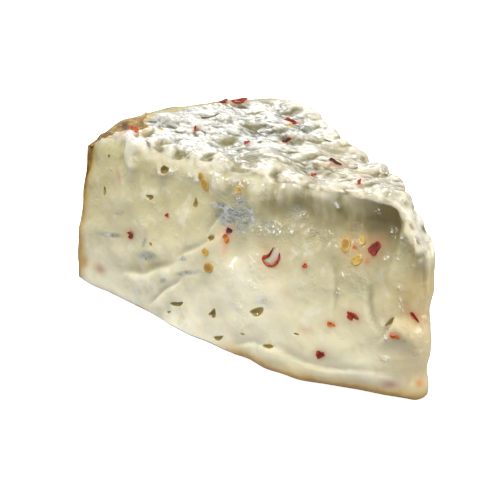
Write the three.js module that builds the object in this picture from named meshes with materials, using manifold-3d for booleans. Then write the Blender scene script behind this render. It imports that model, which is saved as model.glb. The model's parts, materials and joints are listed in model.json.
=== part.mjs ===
// A wedge of soft blue cheese spiced with chilli. It is a sector of half a wheel: the wheel was
// halved level, so the top and the two sides are cut paste, and the heel and the base keep their rind.
// The paste is creamy enough to slump: the front cut face swells out at its foot, the heel spreads,
// and smears left by the wire hang over the front edge as soft lobes.
//
// The model stands on its base, +Z up, with the point of the wedge towards +X, the heel towards -X
// and the front cut face towards -Y. Its origin is the bottom centre of its bounding box.
// Lengths are millimetres.
import * as THREE from "three";
import { mergeVertices } from "three/addons/utils/BufferGeometryUtils.js";
import Module from "manifold-3d";

// ---- Driving dimensions -------------------------------------------------------------------------

const RADIUS = 153; // from the point where the two cuts would meet to the top rim of the heel
const HEIGHT = 62; // base to the level cut
const WEDGE_ANGLE = 33.6; // degrees between the two cut faces
const POINT_RADIUS = 2.7; // the point is blunt
const NOSE_ROUND = 16; // how far the top rolls down at the point
const SHOULDER_ROUND = 8; // how far the heel's shoulder rolls down at its front end
const SHOULDER_LEAST = 2; // and over the rest of it
const CORNER_DROP = 3; // how far the top sinks at the corner of the heel and the back face
const EDGE_ROUND = 2.4; // along the cut edges of the top
const POINT_EDGE_ROUND = 1.3; // and over the point
const SHARP_REACH = 8; // along a face, from the point's round to where the edge has its full round
const BASE_ROUND = 1.2; // along the foot

const FRONT_SLUMP = 15.8; // how far the front face swells out at its foot
const BACK_SLUMP = 7;
const SLUMP_REACH = 160; // along a face, from the point to where the swelling ends
const SLUMP_PEAK = 62; // along a face, from the point to its fullest place
const HEEL_SPREAD = 9.4; // how far the heel spreads at its foot

// Bulges of the blunt point: height above the base, half height and reach outwards.
const NOSE_SWELLS = [
  { up: 49, half: 9, out: 1.4 },
  { up: 20, half: 6, out: 2.2 },
  { up: 0, half: 9, out: 3.4 },
];
const NOSE_DEPTH = 12; // how far back from the point they fade out

const RELIEF = { swell: 0.9, ripple: 0.35, smear: 1.1, rind: 0.5 }; // heights of the surface waves

const RANDOM_SEED = 11;

// Mesh steps: along a cut face, across the wedge, up a wall, and round the top edge.
const STEPS = { along: 42, across: 14, up: 14, round: 3 };

// ---- What is on the faces -----------------------------------------------------------------------
// On the front and back faces a place is [along, up]: from the point along the face, and above the base.
// On the top a place is [x, y] from the point. Turns are degrees, anticlockwise seen from outside.

// Lobes of paste that hang over the front edge: place along it, half width, overhang, droop.
const FRONT_LOBES = [
  { along: 126, half: 6, out: 4.5, drop: 4 },
  { along: 110, half: 5, out: 4.0, drop: 4.5 },
  { along: 95, half: 8, out: 3.0, drop: 0.5 },
  { along: 80, half: 4.5, out: 4.5, drop: 3 },
  { along: 62, half: 8, out: 3.0, drop: 1.5 },
  { along: 45, half: 7, out: 3.6, drop: 1.5 },
  { along: 29, half: 9, out: 4.2, drop: 1.0 },
];

// Folds where one layer of paste slid over another: a groove, with a lip of the given height below it.
const FRONT_FOLDS = [
  { from: [130, 11.5], to: [103, 24.5], groove: 1.6, lip: 2.2, wide: 5 },
  { from: [101, 27], to: [84, 37], groove: 1.4, lip: 1.2, wide: 3.5 },
  { from: [116, 5], to: [98, 18.5], groove: 1.2, lip: 1.6, wide: 3.5 },
  { from: [89, 37], to: [82, 48], groove: 1.8, lip: -1.2, wide: 4 },
  { from: [36, 39], to: [33, 25], groove: 1.1, lip: 0.8, wide: 5 },
  { from: [22, 34], to: [18, 22], groove: 1.4, lip: 1.1, wide: 4 },
  { from: [19, 19], to: [13.5, 27], groove: 1.6, lip: 1.6, wide: 2.5 },
  { from: [70, 3.5], to: [50, 8.5], groove: 0.9, lip: 0.7, wide: 3 },
  { from: [53, 8.5], to: [18, 6.5], groove: 0.9, lip: 0.7, wide: 3 },
];

// Broad lumps: place, half width and half height, and how far they stand out.
const FRONT_LUMPS = [
  { at: [75, 26], half: [22, 12], out: 1.2 },
  { at: [60, 10], half: [30, 6], out: 0.8 },
  { at: [10.5, 22], half: [6, 6.5], out: 1.8 },
  { at: [8, 44], half: [7, 13], out: 2.2 },
];
const BACK_LUMPS = [{ at: [9, 44], half: [9, 13], out: 1.2 }];

// Under the top edge each cut face draws back. The hollow starts sharply beside the point.
const FRONT_RECESS = { from: 16, sharp: 1.6, to: 70, fade: 34, up: 52, half: 8.5, depth: 4.6 };
const BACK_RECESS = { from: 22, sharp: 8, to: 90, fade: 40, up: 50, half: 9, depth: 1.8 };

// Hollows left by gas, opened by the cut.
const FRONT_HOLLOWS = [
  { at: [110, 56.5], long: 3.6, short: 3.4, turn: 0 },
  { at: [60.5, 18], long: 6.2, short: 2.6, turn: 25 },
  { at: [81.5, 11], long: 4.6, short: 2.6, turn: 40 },
  { at: [100, 9], long: 6.5, short: 2.0, turn: 22 },
  { at: [85.5, 36], long: 4.2, short: 2.0, turn: 20 },
  { at: [95, 45.5], long: 3.4, short: 2.4, turn: 70 },
  { at: [117.5, 43], long: 4.0, short: 2.0, turn: 5 },
  { at: [141, 39.5], long: 3.4, short: 2.0, turn: 100 },
  { at: [15, 25], long: 5.0, short: 1.6, turn: 48 },
  { at: [78, 3.6], long: 5.0, short: 1.6, turn: 20 },
  { at: [54.5, 8.2], long: 5.0, short: 1.5, turn: 15 },
];
const TOP_HOLLOWS = [
  { at: [-66, 16.5], long: 12, short: 4.0, turn: 12 },
  { at: [-43, 7], long: 10, short: 3.6, turn: 5 },
  { at: [-128.5, -4], long: 7, short: 3.0, turn: 59 },
  { at: [-93.5, -13.5], long: 9, short: 4.0, turn: 50 },
  { at: [-79, -17.5], long: 7, short: 4.0, turn: 60 },
  { at: [-81, 17.5], long: 9, short: 2.6, turn: 15 },
  { at: [-115.5, 22], long: 9, short: 3.0, turn: 30 },
  { at: [-66, 1], long: 8, short: 2.4, turn: 15 },
  { at: [-111, 6], long: 7, short: 2.6, turn: 40 },
];

// Chilli: flakes of the red skin, and the flat yellow seeds.
const FRONT_FLAKES = [
  { at: [23.5, 45.5], long: 5.2, wide: 3.6, turn: 60 },
  { at: [127.5, 27], long: 4.6, wide: 2.4, turn: 22 },
  { at: [78.5, 38], long: 5.0, wide: 3.2, turn: 60 },
  { at: [26.5, 24.5], long: 4.6, wide: 2.4, turn: -12 },
  { at: [35, 10.5], long: 3.8, wide: 2.2, turn: 30 },
  { at: [7.4, 28], long: 4.2, wide: 1.4, turn: -50 },
  { at: [44.5, 36.5], long: 2.0, wide: 1.8, turn: 0 },
  { at: [108.5, 38.5], long: 2.0, wide: 1.8, turn: 0 },
  { at: [33, 20.5], long: 3.0, wide: 1.8, turn: 0 },
  { at: [13.5, 21.5], long: 3.2, wide: 1.8, turn: 0 },
];
const FRONT_SEEDS = [
  { at: [90.5, 53], long: 4.6, wide: 3.4, turn: 110 },
  { at: [92.5, 55.5], long: 3.0, wide: 2.4, turn: 100 },
  { at: [86.5, 31.5], long: 2.9, wide: 2.8, turn: 0 },
  { at: [84.5, 26.5], long: 4.8, wide: 3.6, turn: 10 },
  { at: [32, 45], long: 4.6, wide: 3.4, turn: 100 },
  { at: [27.5, 47], long: 3.6, wide: 2.4, turn: 115 },
  { at: [27.5, 41.5], long: 4.0, wide: 3.2, turn: 30 },
  { at: [75.5, 54.5], long: 2.4, wide: 1.8, turn: 90 },
];
const TOP_FLAKES = [
  { at: [-107.5, 18.7], long: 7.0, wide: 3.6, turn: 50 },
  { at: [-93, 7.7], long: 4.0, wide: 2.0, turn: 55 },
  { at: [-54.5, 1], long: 5.4, wide: 1.5, turn: 20 },
  { at: [-129.5, -33.2], long: 4.6, wide: 2.2, turn: 10 },
  { at: [-146, 20.5], long: 7.0, wide: 2.6, turn: 82 },
  { at: [-147, 14], long: 3.6, wide: 1.8, turn: 84 },
];

// A strip of skin curled like a horseshoe.
const CURL = { at: [58.5, 35], radius: 3.1, thick: 1.3, opening: 70, turn: 112 };

// The back face and the heel carry the same kinds of things, strewn by a seeded draw.
const BACK_STREWN = { hollows: 9, flakes: 9, seeds: 7, folds: 5, lobes: 5 };
const TOP_STREWN = { flakes: 4, seeds: 4 };
const STREWN_SIZES = { hollow: [3, 6], flake: [2.5, 5.5], seed: [3, 4.4] };
const FLAKE_THICK = 1.5;
const SEED_THICK = 1.7;

// ---- Small helpers ------------------------------------------------------------------------------

const radians = THREE.MathUtils.degToRad;
const smooth = (low, high, x) => THREE.MathUtils.smoothstep(x, low, high);
const bell = (x) => Math.exp(-x * x);
const mix = THREE.MathUtils.lerp;

// A seeded source of numbers from 0 to 1.
function seededRandom(seed) {
  let state = seed >>> 0;
  return () => {
    state = (state + 0x6d2b79f5) >>> 0;
    let t = Math.imul(state ^ (state >>> 15), state | 1);
    t = (t + Math.imul(t ^ (t >>> 7), t | 61)) ^ t;
    return ((t ^ (t >>> 14)) >>> 0) / 4294967296;
  };
}

// Rolling waves in every direction: a sum of sines whose directions are spread over a sphere.
const GOLDEN_ANGLE = Math.PI * (3 - Math.sqrt(5));
function waves(p, length, count, phase) {
  let sum = 0;
  for (let k = 0; k < count; k++) {
    const dz = 1 - (2 * k + 1) / count;
    const flat = Math.sqrt(1 - dz * dz);
    const turn = GOLDEN_ANGLE * k + phase;
    const reach = length * (0.7 + (0.6 * k) / count);
    const dot = p.x * flat * Math.cos(turn) + p.y * flat * Math.sin(turn) + p.z * dz;
    sum += Math.sin((2 * Math.PI * dot) / reach + phase * (k + 1));
  }
  return sum / Math.sqrt(count);
}

// ---- The two cut faces --------------------------------------------------------------------------

const HALF_ANGLE = radians(WEDGE_ANGLE / 2);

// side is -1 for the front face and 1 for the back face.
function cutFace(side) {
  const along = new THREE.Vector3(-Math.cos(HALF_ANGLE), side * Math.sin(HALF_ANGLE), 0);
  const out = new THREE.Vector3(Math.sin(HALF_ANGLE), side * Math.cos(HALF_ANGLE), 0);
  return { side, along, out };
}
const FRONT = cutFace(-1);
const BACK = cutFace(1);
const FACING = Math.PI / 2 - HALF_ANGLE; // direction that a cut face looks in, from +X
const POINT_CENTRE = -POINT_RADIUS / Math.sin(HALF_ANGLE); // x of the axis of the blunt point
const POINT_START = POINT_RADIUS / Math.tan(HALF_ANGLE); // along a face, where the blunt point begins

// The place on a plain cut face, and its normal. Nearer than POINT_START it runs round the point.
function onWall(face, along, up) {
  if (along >= POINT_START) {
    return { p: face.along.clone().multiplyScalar(along).setZ(up), n: face.out };
  }
  const angle = face.side * (FACING - (POINT_START - along) / POINT_RADIUS);
  const n = new THREE.Vector3(Math.cos(angle), Math.sin(angle), 0);
  const p = n.clone().multiplyScalar(POINT_RADIUS).setZ(up);
  p.x += POINT_CENTRE;
  return { p, n };
}

// Height of the level cut, which rolls down at the point and at the heel's shoulder.
const POINT_END = POINT_CENTRE + POINT_RADIUS; // x of the blunt point

function rollDown(distance, radius) {
  if (distance >= radius) return 0;
  const short = radius - Math.max(distance, 0);
  return radius - Math.sqrt(radius * radius - short * short);
}

function shoulderRadius(x, y) {
  const turn = Math.atan2(y, -x) / HALF_ANGLE; // -1 at the front face, 1 at the back face
  return mix(SHOULDER_ROUND, SHOULDER_LEAST, smooth(-1, -0.6, turn));
}

function topHeight(x, y) {
  const nose = rollDown(POINT_END - x, NOSE_ROUND);
  const heel = rollDown(RADIUS - Math.hypot(x, y), shoulderRadius(x, y));
  return HEIGHT - Math.max(nose, heel * 0.8);
}

// ---- Deforming the plain wedge ------------------------------------------------------------------

const SLUMP_POWER = Math.log(0.5) / Math.log(SLUMP_PEAK / SLUMP_REACH);
const SLUMP_DEPTH = 24; // how deep behind a face the swelling is felt
const LOBE_BAND = 5; // height of the band below the edge that a lobe fills
const LOBE_DEPTH = 8; // how deep behind a face a lobe is felt

function slump(along, level, depth) {
  const share = THREE.MathUtils.clamp(along / SLUMP_REACH, 0, 1);
  return depth * Math.sin(Math.PI * share ** SLUMP_POWER) * (1 - level) ** 0.8;
}

// A groove from one place to another on a face, with a raised lip on its lower side.
function foldHeight(fold, along, up) {
  const [a0, u0] = fold.from;
  const [a1, u1] = fold.to;
  const length = Math.hypot(a1 - a0, u1 - u0);
  const ta = (a1 - a0) / length;
  const tu = (u1 - u0) / length;
  const run = ((along - a0) * ta + (up - u0) * tu) / length;
  const below = (along - a0) * tu - (up - u0) * ta;
  const side = ta < 0 ? -below : below;
  const taper = smooth(-0.2, 0.25, run) * (1 - smooth(0.75, 1.2, run));
  const groove = fold.groove * bell(side / (0.35 * fold.wide));
  return taper * (fold.lip * bell((side - 0.8 * fold.wide) / fold.wide) - groove);
}

// How far a cut face stands out of its plane at a place: folds, lumps and the hollow under the edge.
function faceHeight({ folds, lumps, recess }, along, up) {
  const began = smooth(recess.from - recess.sharp, recess.from + recess.sharp, along);
  const ending = 1 - smooth(recess.to - recess.fade, recess.to, along);
  let height = -recess.depth * began * ending * bell((up - recess.up) / recess.half);
  for (const { at, half, out } of lumps) {
    height += out * bell((along - at[0]) / half[0]) * bell((up - at[1]) / half[1]);
  }
  for (const fold of folds) height += foldHeight(fold, along, up);
  return height;
}

// How strongly a lobe of the top edge pulls a point that is inside mm behind the face.
function lobePull(lobe, along, up, inside) {
  const band = bell(Math.max(0, HEIGHT - LOBE_BAND - up) / LOBE_BAND);
  return bell((along - lobe.along) / lobe.half) * band * bell(inside / LOBE_DEPTH);
}

// Moves point p of the plain wedge, whose outward normal is n, to its place on the real one.
function deform(p, n, details) {
  const level = THREE.MathUtils.clamp(p.z / HEIGHT, 0, 1);
  const moved = p.clone();
  for (const [face, own] of [[FRONT, details.front], [BACK, details.back]]) {
    const along = p.dot(face.along);
    const inside = -p.dot(face.out);
    moved.addScaledVector(face.out, slump(along, level, own.slump) * (1 - smooth(0, SLUMP_DEPTH, inside)));
    for (const lobe of own.lobes) {
      const pull = lobePull(lobe, along, p.z, inside);
      moved.addScaledVector(face.out, lobe.out * pull);
      moved.z -= lobe.drop * pull * level;
    }
    const facing = smooth(0.6, 0.95, n.dot(face.out));
    if (facing > 0) moved.addScaledVector(face.out, faceHeight(own, along, p.z) * facing);
  }
  const reach = Math.hypot(p.x, p.y);
  const radial = new THREE.Vector3(p.x / reach, p.y / reach, 0);
  const turn = Math.atan2(p.y, -p.x) / HALF_ANGLE;
  const nearHeel = smooth(RADIUS - 30, RADIUS, reach);
  const atCorner = smooth(RADIUS - 22, RADIUS, reach) * smooth(0.45, 1, turn);
  moved.addScaledVector(radial, HEEL_SPREAD * (1 - level) * nearHeel);
  moved.z -= CORNER_DROP * atCorner * level ** 3;
  for (const { up, half, out } of NOSE_SWELLS) {
    moved.x += out * bell((p.z - up) / half) * bell((POINT_END - p.x) / NOSE_DEPTH);
  }

  const onTop = smooth(0.5, 0.9, n.z);
  const onHeel = smooth(0.5, 0.9, n.dot(radial)) * smooth(RADIUS - 6, RADIUS - 1, reach);
  const smeared = new THREE.Vector3(p.x * 0.35, p.y * 1.4, p.z);
  const paste =
    RELIEF.swell * waves(p, 42, 9, 1.3) +
    RELIEF.ripple * waves(p, 13, 11, 4.1) +
    RELIEF.smear * onTop * waves(smeared, 15, 9, 2.2);
  const rind = RELIEF.rind * waves(p, 18, 9, 5.2);
  const relief = mix(paste, rind, onHeel);
  const grounded = smooth(0, 6, p.z); // the foot stays level on the table
  moved.addScaledVector(new THREE.Vector3(n.x, n.y, n.z * grounded), relief);
  moved.z = Math.max(moved.z, 0);
  return moved;
}

// ---- The plain wedge ----------------------------------------------------------------------------

// The outline seen from above, anticlockwise from the point's front end: the point, the back cut, the
// heel and the front cut. Each station has its place and its outward normal.
function outline() {
  const stations = [];
  const station = (x, y, angle, round = EDGE_ROUND) =>
    stations.push({ x, y, nx: Math.cos(angle), ny: Math.sin(angle), round });
  // The edge is sharper on the thin point.
  const roundAt = (along) => {
    const share = smooth(POINT_START, POINT_START + SHARP_REACH, along);
    return mix(POINT_EDGE_ROUND, EDGE_ROUND, share);
  };
  for (let i = 0; i < STEPS.across; i++) {
    const angle = mix(-FACING, FACING, i / STEPS.across);
    const x = POINT_CENTRE + POINT_RADIUS * Math.cos(angle);
    station(x, POINT_RADIUS * Math.sin(angle), angle, POINT_EDGE_ROUND);
  }
  for (let i = 0; i < STEPS.along; i++) {
    const along = mix(POINT_START, RADIUS, i / STEPS.along);
    station(along * BACK.along.x, along * BACK.along.y, FACING, roundAt(along));
  }
  for (let i = 0; i < STEPS.across; i++) {
    const angle = Math.PI + mix(-HALF_ANGLE, HALF_ANGLE, i / STEPS.across);
    const normal = i === 0 ? (FACING + angle) / 2 : angle;
    station(RADIUS * Math.cos(angle), RADIUS * Math.sin(angle), normal);
  }
  for (let i = 0; i < STEPS.along; i++) {
    const along = mix(RADIUS, POINT_START, i / STEPS.along);
    const normal = i === 0 ? (Math.PI + HALF_ANGLE + 2 * Math.PI - FACING) / 2 : -FACING;
    station(along * FRONT.along.x, along * FRONT.along.y, normal, roundAt(along));
  }
  return stations;
}

// One column of the wall: from the foot's round, up the wall, and over the top edge's round.
function wallColumn(s) {
  const column = [];
  const point = (inset, tilt, heightAt) => {
    const [x, y] = [s.x - s.nx * inset, s.y - s.ny * inset];
    column.push({
      p: new THREE.Vector3(x, y, heightAt(x, y)),
      n: new THREE.Vector3(s.nx * Math.cos(tilt), s.ny * Math.cos(tilt), Math.sin(tilt)),
    });
  };
  point(BASE_ROUND, 0, () => 0);
  for (let j = 0; j <= STEPS.up; j++) {
    point(0, 0, (x, y) => mix(BASE_ROUND, topHeight(x, y) - s.round, j / STEPS.up));
  }
  for (let j = 1; j <= STEPS.round; j++) {
    const tilt = ((Math.PI / 2) * j) / STEPS.round;
    const below = s.round * (1 - Math.sin(tilt));
    point(s.round * (1 - Math.cos(tilt)), tilt, (x, y) => topHeight(x, y) - below);
  }
  return column;
}

// The whole skin: walls, top and base, with every vertex deformed.
function wedgeGeometry(details) {
  const columns = outline().map(wallColumn);
  const count = columns.length;
  const rows = columns[0].length;
  const vertices = [];
  const triangles = [];
  const place = (p, n) => vertices.push(deform(p, n, details)) - 1;
  const quad = (a, b, c, d) => triangles.push(a, b, c, a, c, d);

  const wall = columns.map((column) => column.map(({ p, n }) => place(p, n)));
  for (let i = 0; i < count; i++) {
    const [here, next] = [wall[i], wall[(i + 1) % count]];
    for (let j = 0; j + 1 < rows; j++) quad(here[j], next[j], next[j + 1], here[j + 1]);
  }

  // The top: rows run across the wedge from the front cut to the back cut. The inner places blend
  // the four sides of the wall's last ring.
  const { along, across } = STEPS;
  const rim = (i) => columns[(i + count) % count][rows - 1].p;
  const rimIndex = (i) => wall[(i + count) % count][rows - 1];
  const up = new THREE.Vector3(0, 0, 1);
  const blend = (i, j) => {
    const u = i / along;
    const v = j / across;
    const front = rim(-i);
    const back = rim(across + i);
    const point = rim(j);
    const heel = rim(2 * across + along - j);
    const corners = [rim(0), rim(across), rim(-along), rim(across + along)];
    const coordinate = (axis) =>
      mix(front[axis], back[axis], v) +
      mix(point[axis], heel[axis], u) -
      mix(mix(corners[0][axis], corners[1][axis], v), mix(corners[2][axis], corners[3][axis], v), u);
    const [x, y] = [coordinate("x"), coordinate("y")];
    return new THREE.Vector3(x, y, topHeight(x, y));
  };
  const top = [];
  for (let i = 0; i <= along; i++) {
    top.push([]);
    for (let j = 0; j <= across; j++) {
      if (j === 0) top[i].push(rimIndex(-i));
      else if (j === across) top[i].push(rimIndex(across + i));
      else if (i === 0) top[i].push(rimIndex(j));
      else if (i === along) top[i].push(rimIndex(2 * across + along - j));
      else top[i].push(place(blend(i, j), up));
    }
  }
  for (let i = 0; i < along; i++) {
    for (let j = 0; j < across; j++) {
      quad(top[i][j], top[i][j + 1], top[i + 1][j + 1], top[i + 1][j]);
    }
  }

  const foot = wall.map((column) => column[0]);
  const contour = foot.map((k) => new THREE.Vector2(vertices[k].x, vertices[k].y));
  for (const [a, b, c] of THREE.ShapeUtils.triangulateShape(contour, [])) {
    triangles.push(foot[a], foot[c], foot[b]);
  }
  const geometry = new THREE.BufferGeometry().setFromPoints(vertices);
  geometry.setIndex(triangles);
  return geometry;
}

// ---- What is strewn on the hidden faces ---------------------------------------------------------

const random = seededRandom(RANDOM_SEED);
const between = (low, high) => mix(low, high, random());

// Spreads count places evenly over a face: one in each of as many strips, at a drawn height.
function strew(count, [from, to], [low, high], make) {
  const strip = (to - from) / count;
  return Array.from({ length: count }, (_, k) =>
    make([from + strip * (k + between(0.15, 0.85)), between(low, high)]),
  );
}

const grain = ([low, high], slim) => (at) => {
  const long = between(low, high);
  return { at, long, short: long * slim, wide: long * slim, turn: between(0, 180) };
};

const BACK_AREA = [[12, 145], [5, 55]];
const backHollows = strew(BACK_STREWN.hollows, ...BACK_AREA, grain(STREWN_SIZES.hollow, 0.5));
const backFlakes = strew(BACK_STREWN.flakes, ...BACK_AREA, grain(STREWN_SIZES.flake, 0.55));
const backSeeds = strew(BACK_STREWN.seeds, ...BACK_AREA, grain(STREWN_SIZES.seed, 0.85));
const backFolds = strew(BACK_STREWN.folds, [20, 130], [10, 45], (at) => ({
  from: at,
  to: [at[0] + between(14, 26), at[1] + between(-12, 8)],
  groove: between(1, 1.8),
  lip: between(1, 2.2),
  wide: between(3, 5),
}));
const backLobes = strew(BACK_STREWN.lobes, [18, 138], [0, 1], ([along]) => ({
  along,
  half: between(5, 9),
  out: between(2.5, 4.5),
  drop: between(0.5, 3.5),
}));
const topStrip = [[-135, -25], [-0.75, 0.75]];
const acrossTop = (make) => ([x, share]) => make([x, -x * Math.tan(HALF_ANGLE) * share]);
const strewnTopFlakes = strew(
  TOP_STREWN.flakes, ...topStrip, acrossTop(grain(STREWN_SIZES.flake, 0.5)),
);
const strewnTopSeeds = strew(
  TOP_STREWN.seeds, ...topStrip, acrossTop(grain(STREWN_SIZES.seed, 0.85)),
);

const DETAILS = {
  front: {
    slump: FRONT_SLUMP,
    lobes: FRONT_LOBES,
    folds: FRONT_FOLDS,
    lumps: FRONT_LUMPS,
    recess: FRONT_RECESS,
  },
  back: {
    slump: BACK_SLUMP,
    lobes: backLobes,
    folds: backFolds,
    lumps: BACK_LUMPS,
    recess: BACK_RECESS,
  },
};

// ---- Placing things on the deformed faces -------------------------------------------------------

// A place on a cut face or the top, and the frame there: across, up and outwards.
function frameOn(where, [a, b]) {
  const step = 0.5;
  const up = new THREE.Vector3(0, 0, 1);
  const spot = (s, t) => {
    if (where === "top") return deform(new THREE.Vector3(s, t, topHeight(s, t)), up, DETAILS);
    const { p, n } = onWall(where === "front" ? FRONT : BACK, s, t);
    return deform(p, n, DETAILS);
  };
  const origin = spot(a, b);
  const first = spot(a + step, b).sub(origin).normalize();
  const second = spot(a, b + step).sub(origin).normalize();
  // Seen from outside, "along" runs to the left on the front face and to the right on the others.
  const right = where === "front" ? first.negate() : first;
  const out = new THREE.Vector3().crossVectors(right, second).normalize();
  const upward = new THREE.Vector3().crossVectors(out, right);
  return new THREE.Matrix4().makeBasis(right, upward, out).setPosition(origin);
}

// Turns and scales a unit shape, and lays it on a face, raised by lift.
function layOn(geometry, where, at, turn, size, lift) {
  const matrix = frameOn(where, at)
    .multiply(new THREE.Matrix4().makeTranslation(0, 0, lift))
    .multiply(new THREE.Matrix4().makeRotationZ(radians(turn)))
    .multiply(new THREE.Matrix4().makeScale(...size));
  return geometry.clone().applyMatrix4(matrix);
}

const hollowShape = new THREE.IcosahedronGeometry(1, 1);
const flakeShape = new THREE.IcosahedronGeometry(1, 0);
const seedShape = new THREE.SphereGeometry(1, 8, 4).rotateX(Math.PI / 2);

const hollowOn = (where) => (h) =>
  layOn(hollowShape, where, h.at, h.turn, [h.long / 2, h.short / 2, h.short * 0.8], 0);
const flakeOn = (where) => (f) =>
  layOn(flakeShape, where, f.at, f.turn, [f.long / 2, f.wide / 2, FLAKE_THICK / 2], 0.15);
const seedOn = (where) => (s) =>
  layOn(seedShape, where, s.at, s.turn, [s.long / 2, s.wide / 2, SEED_THICK / 2], 0.1);

// The horseshoe curl: a square section drawn along an open arc.
function curlGeometry() {
  const { at, radius, thick, opening, turn } = CURL;
  const bend = new THREE.ArcCurve(0, 0, radius, radians(opening / 2), radians(360 - opening / 2));
  const path = new THREE.CatmullRomCurve3(
    bend.getPoints(9).map((p) => new THREE.Vector3(p.x, p.y, 0)),
  );
  const half = thick / 2;
  const section = new THREE.Shape([
    new THREE.Vector2(-half, -half),
    new THREE.Vector2(half, -half),
    new THREE.Vector2(half, half),
    new THREE.Vector2(-half, half),
  ]);
  const strip = new THREE.ExtrudeGeometry(section, { steps: 9, extrudePath: path });
  return layOn(strip, "front", at, turn, [1, 1, 1], 0.2);
}

// ---- Joining ------------------------------------------------------------------------------------

const wasm = await Module();
wasm.setup();

function solidFrom(geometry) {
  const bare = new THREE.BufferGeometry().setAttribute("position", geometry.getAttribute("position"));
  if (geometry.index) bare.setIndex(geometry.index);
  const merged = mergeVertices(bare, 1e-3);
  return new wasm.Manifold(
    new wasm.Mesh({
      numProp: 3,
      vertProperties: merged.attributes.position.array,
      triVerts: new Uint32Array(merged.index.array),
    }),
  );
}

function geometryFrom(solid) {
  const mesh = solid.getMesh();
  const geometry = new THREE.BufferGeometry();
  geometry.setAttribute("position", new THREE.BufferAttribute(mesh.vertProperties, mesh.numProp));
  geometry.setIndex(new THREE.BufferAttribute(mesh.triVerts, 1));
  return geometry;
}

const hollows = [
  ...FRONT_HOLLOWS.map(hollowOn("front")),
  ...TOP_HOLLOWS.map(hollowOn("top")),
  ...backHollows.map(hollowOn("back")),
];
const chilli = [
  ...FRONT_FLAKES.map(flakeOn("front")),
  ...[...TOP_FLAKES, ...strewnTopFlakes].map(flakeOn("top")),
  ...backFlakes.map(flakeOn("back")),
  ...FRONT_SEEDS.map(seedOn("front")),
  ...strewnTopSeeds.map(seedOn("top")),
  ...backSeeds.map(seedOn("back")),
  curlGeometry(),
];

let cheese = solidFrom(wedgeGeometry(DETAILS));
for (const hollow of hollows) cheese = cheese.subtract(solidFrom(hollow));
for (const piece of chilli) cheese = cheese.add(solidFrom(piece));

// A crumb that a hollow has cut loose is dropped.
const [whole] = cheese.decompose().sort((a, b) => b.volume() - a.volume());
const geometry = geometryFrom(whole);
geometry.computeBoundingBox();
const middle = geometry.boundingBox.getCenter(new THREE.Vector3());
geometry.translate(-middle.x, -middle.y, -geometry.boundingBox.min.z);
geometry.computeVertexNormals();

const paste = new THREE.MeshStandardMaterial({ color: 0xe6dfc4, roughness: 0.35, metalness: 0 });
const wedge = new THREE.Mesh(geometry, paste);
wedge.name = "cheese_wedge";

const part = new THREE.Group();
part.add(wedge);

export default part;
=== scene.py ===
# %% [markdown]
# # A wedge of soft blue cheese with chilli
#
# The real thing is a sector of half a wheel. The wheel was halved level, so the top and the two long
# sides are cut paste, while the curved heel and the base keep their rind. The paste is creamy: it has
# slumped, it hangs over the front edge in lobes, and it holds mould, small holes, and flakes and seeds
# of chilli. The lesson builds it in layers: the plain sector first, then its slump and folds, then the
# small relief, the holes, the rind, the chilli, and last the finish of each.
#
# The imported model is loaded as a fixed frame, and everything here sits in that frame: metres, +Z up,
# the point of the wedge towards +X, the slumped cut face towards -Y and the heel towards -X.

import json
import math
from types import SimpleNamespace

import bmesh
import bpy
import numpy as np
from mathutils import Matrix, Vector
from mathutils.bvhtree import BVHTree
from mathutils.kdtree import KDTree

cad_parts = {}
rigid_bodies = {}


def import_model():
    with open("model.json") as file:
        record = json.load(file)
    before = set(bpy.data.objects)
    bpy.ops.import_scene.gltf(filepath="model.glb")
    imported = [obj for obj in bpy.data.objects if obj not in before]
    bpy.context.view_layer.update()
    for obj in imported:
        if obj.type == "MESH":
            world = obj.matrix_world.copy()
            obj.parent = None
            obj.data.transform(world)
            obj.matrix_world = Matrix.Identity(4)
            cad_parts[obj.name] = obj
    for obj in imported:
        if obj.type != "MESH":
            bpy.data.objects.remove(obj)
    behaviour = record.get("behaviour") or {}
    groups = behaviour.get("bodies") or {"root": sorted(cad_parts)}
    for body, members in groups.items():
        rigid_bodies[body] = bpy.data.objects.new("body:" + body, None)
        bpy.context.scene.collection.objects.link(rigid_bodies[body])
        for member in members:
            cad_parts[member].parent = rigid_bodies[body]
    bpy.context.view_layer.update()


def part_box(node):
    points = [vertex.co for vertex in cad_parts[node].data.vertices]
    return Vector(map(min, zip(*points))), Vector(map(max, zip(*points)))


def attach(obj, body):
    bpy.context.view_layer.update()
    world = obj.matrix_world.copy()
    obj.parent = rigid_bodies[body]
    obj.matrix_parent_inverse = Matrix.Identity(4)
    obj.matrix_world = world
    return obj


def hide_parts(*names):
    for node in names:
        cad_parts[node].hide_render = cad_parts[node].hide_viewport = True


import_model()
WEDGE_NODE = "cheese_wedge"
MM = 0.001  # the frame is in metres, and cheese is easier to think of in millimetres

# %% [markdown]
# ## The camera
#
# A long lens a little above the board shows the front cut face and the top together. A constraint could
# aim it, but a direction, a distance and a slight roll are easier to check. `away` points from the
# target to the camera.

# %% Make the camera
AZIMUTH, ELEVATION, ROLL = (math.radians(a) for a in (58.95, 21.34, -1.68))
CAMERA_DISTANCE = 422.1 * MM
CAMERA_TARGET = Vector((2.2, -15.9, 28.4)) * MM
CAMERA_LENS = 88.7  # for the usual 36 mm sensor

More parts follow.
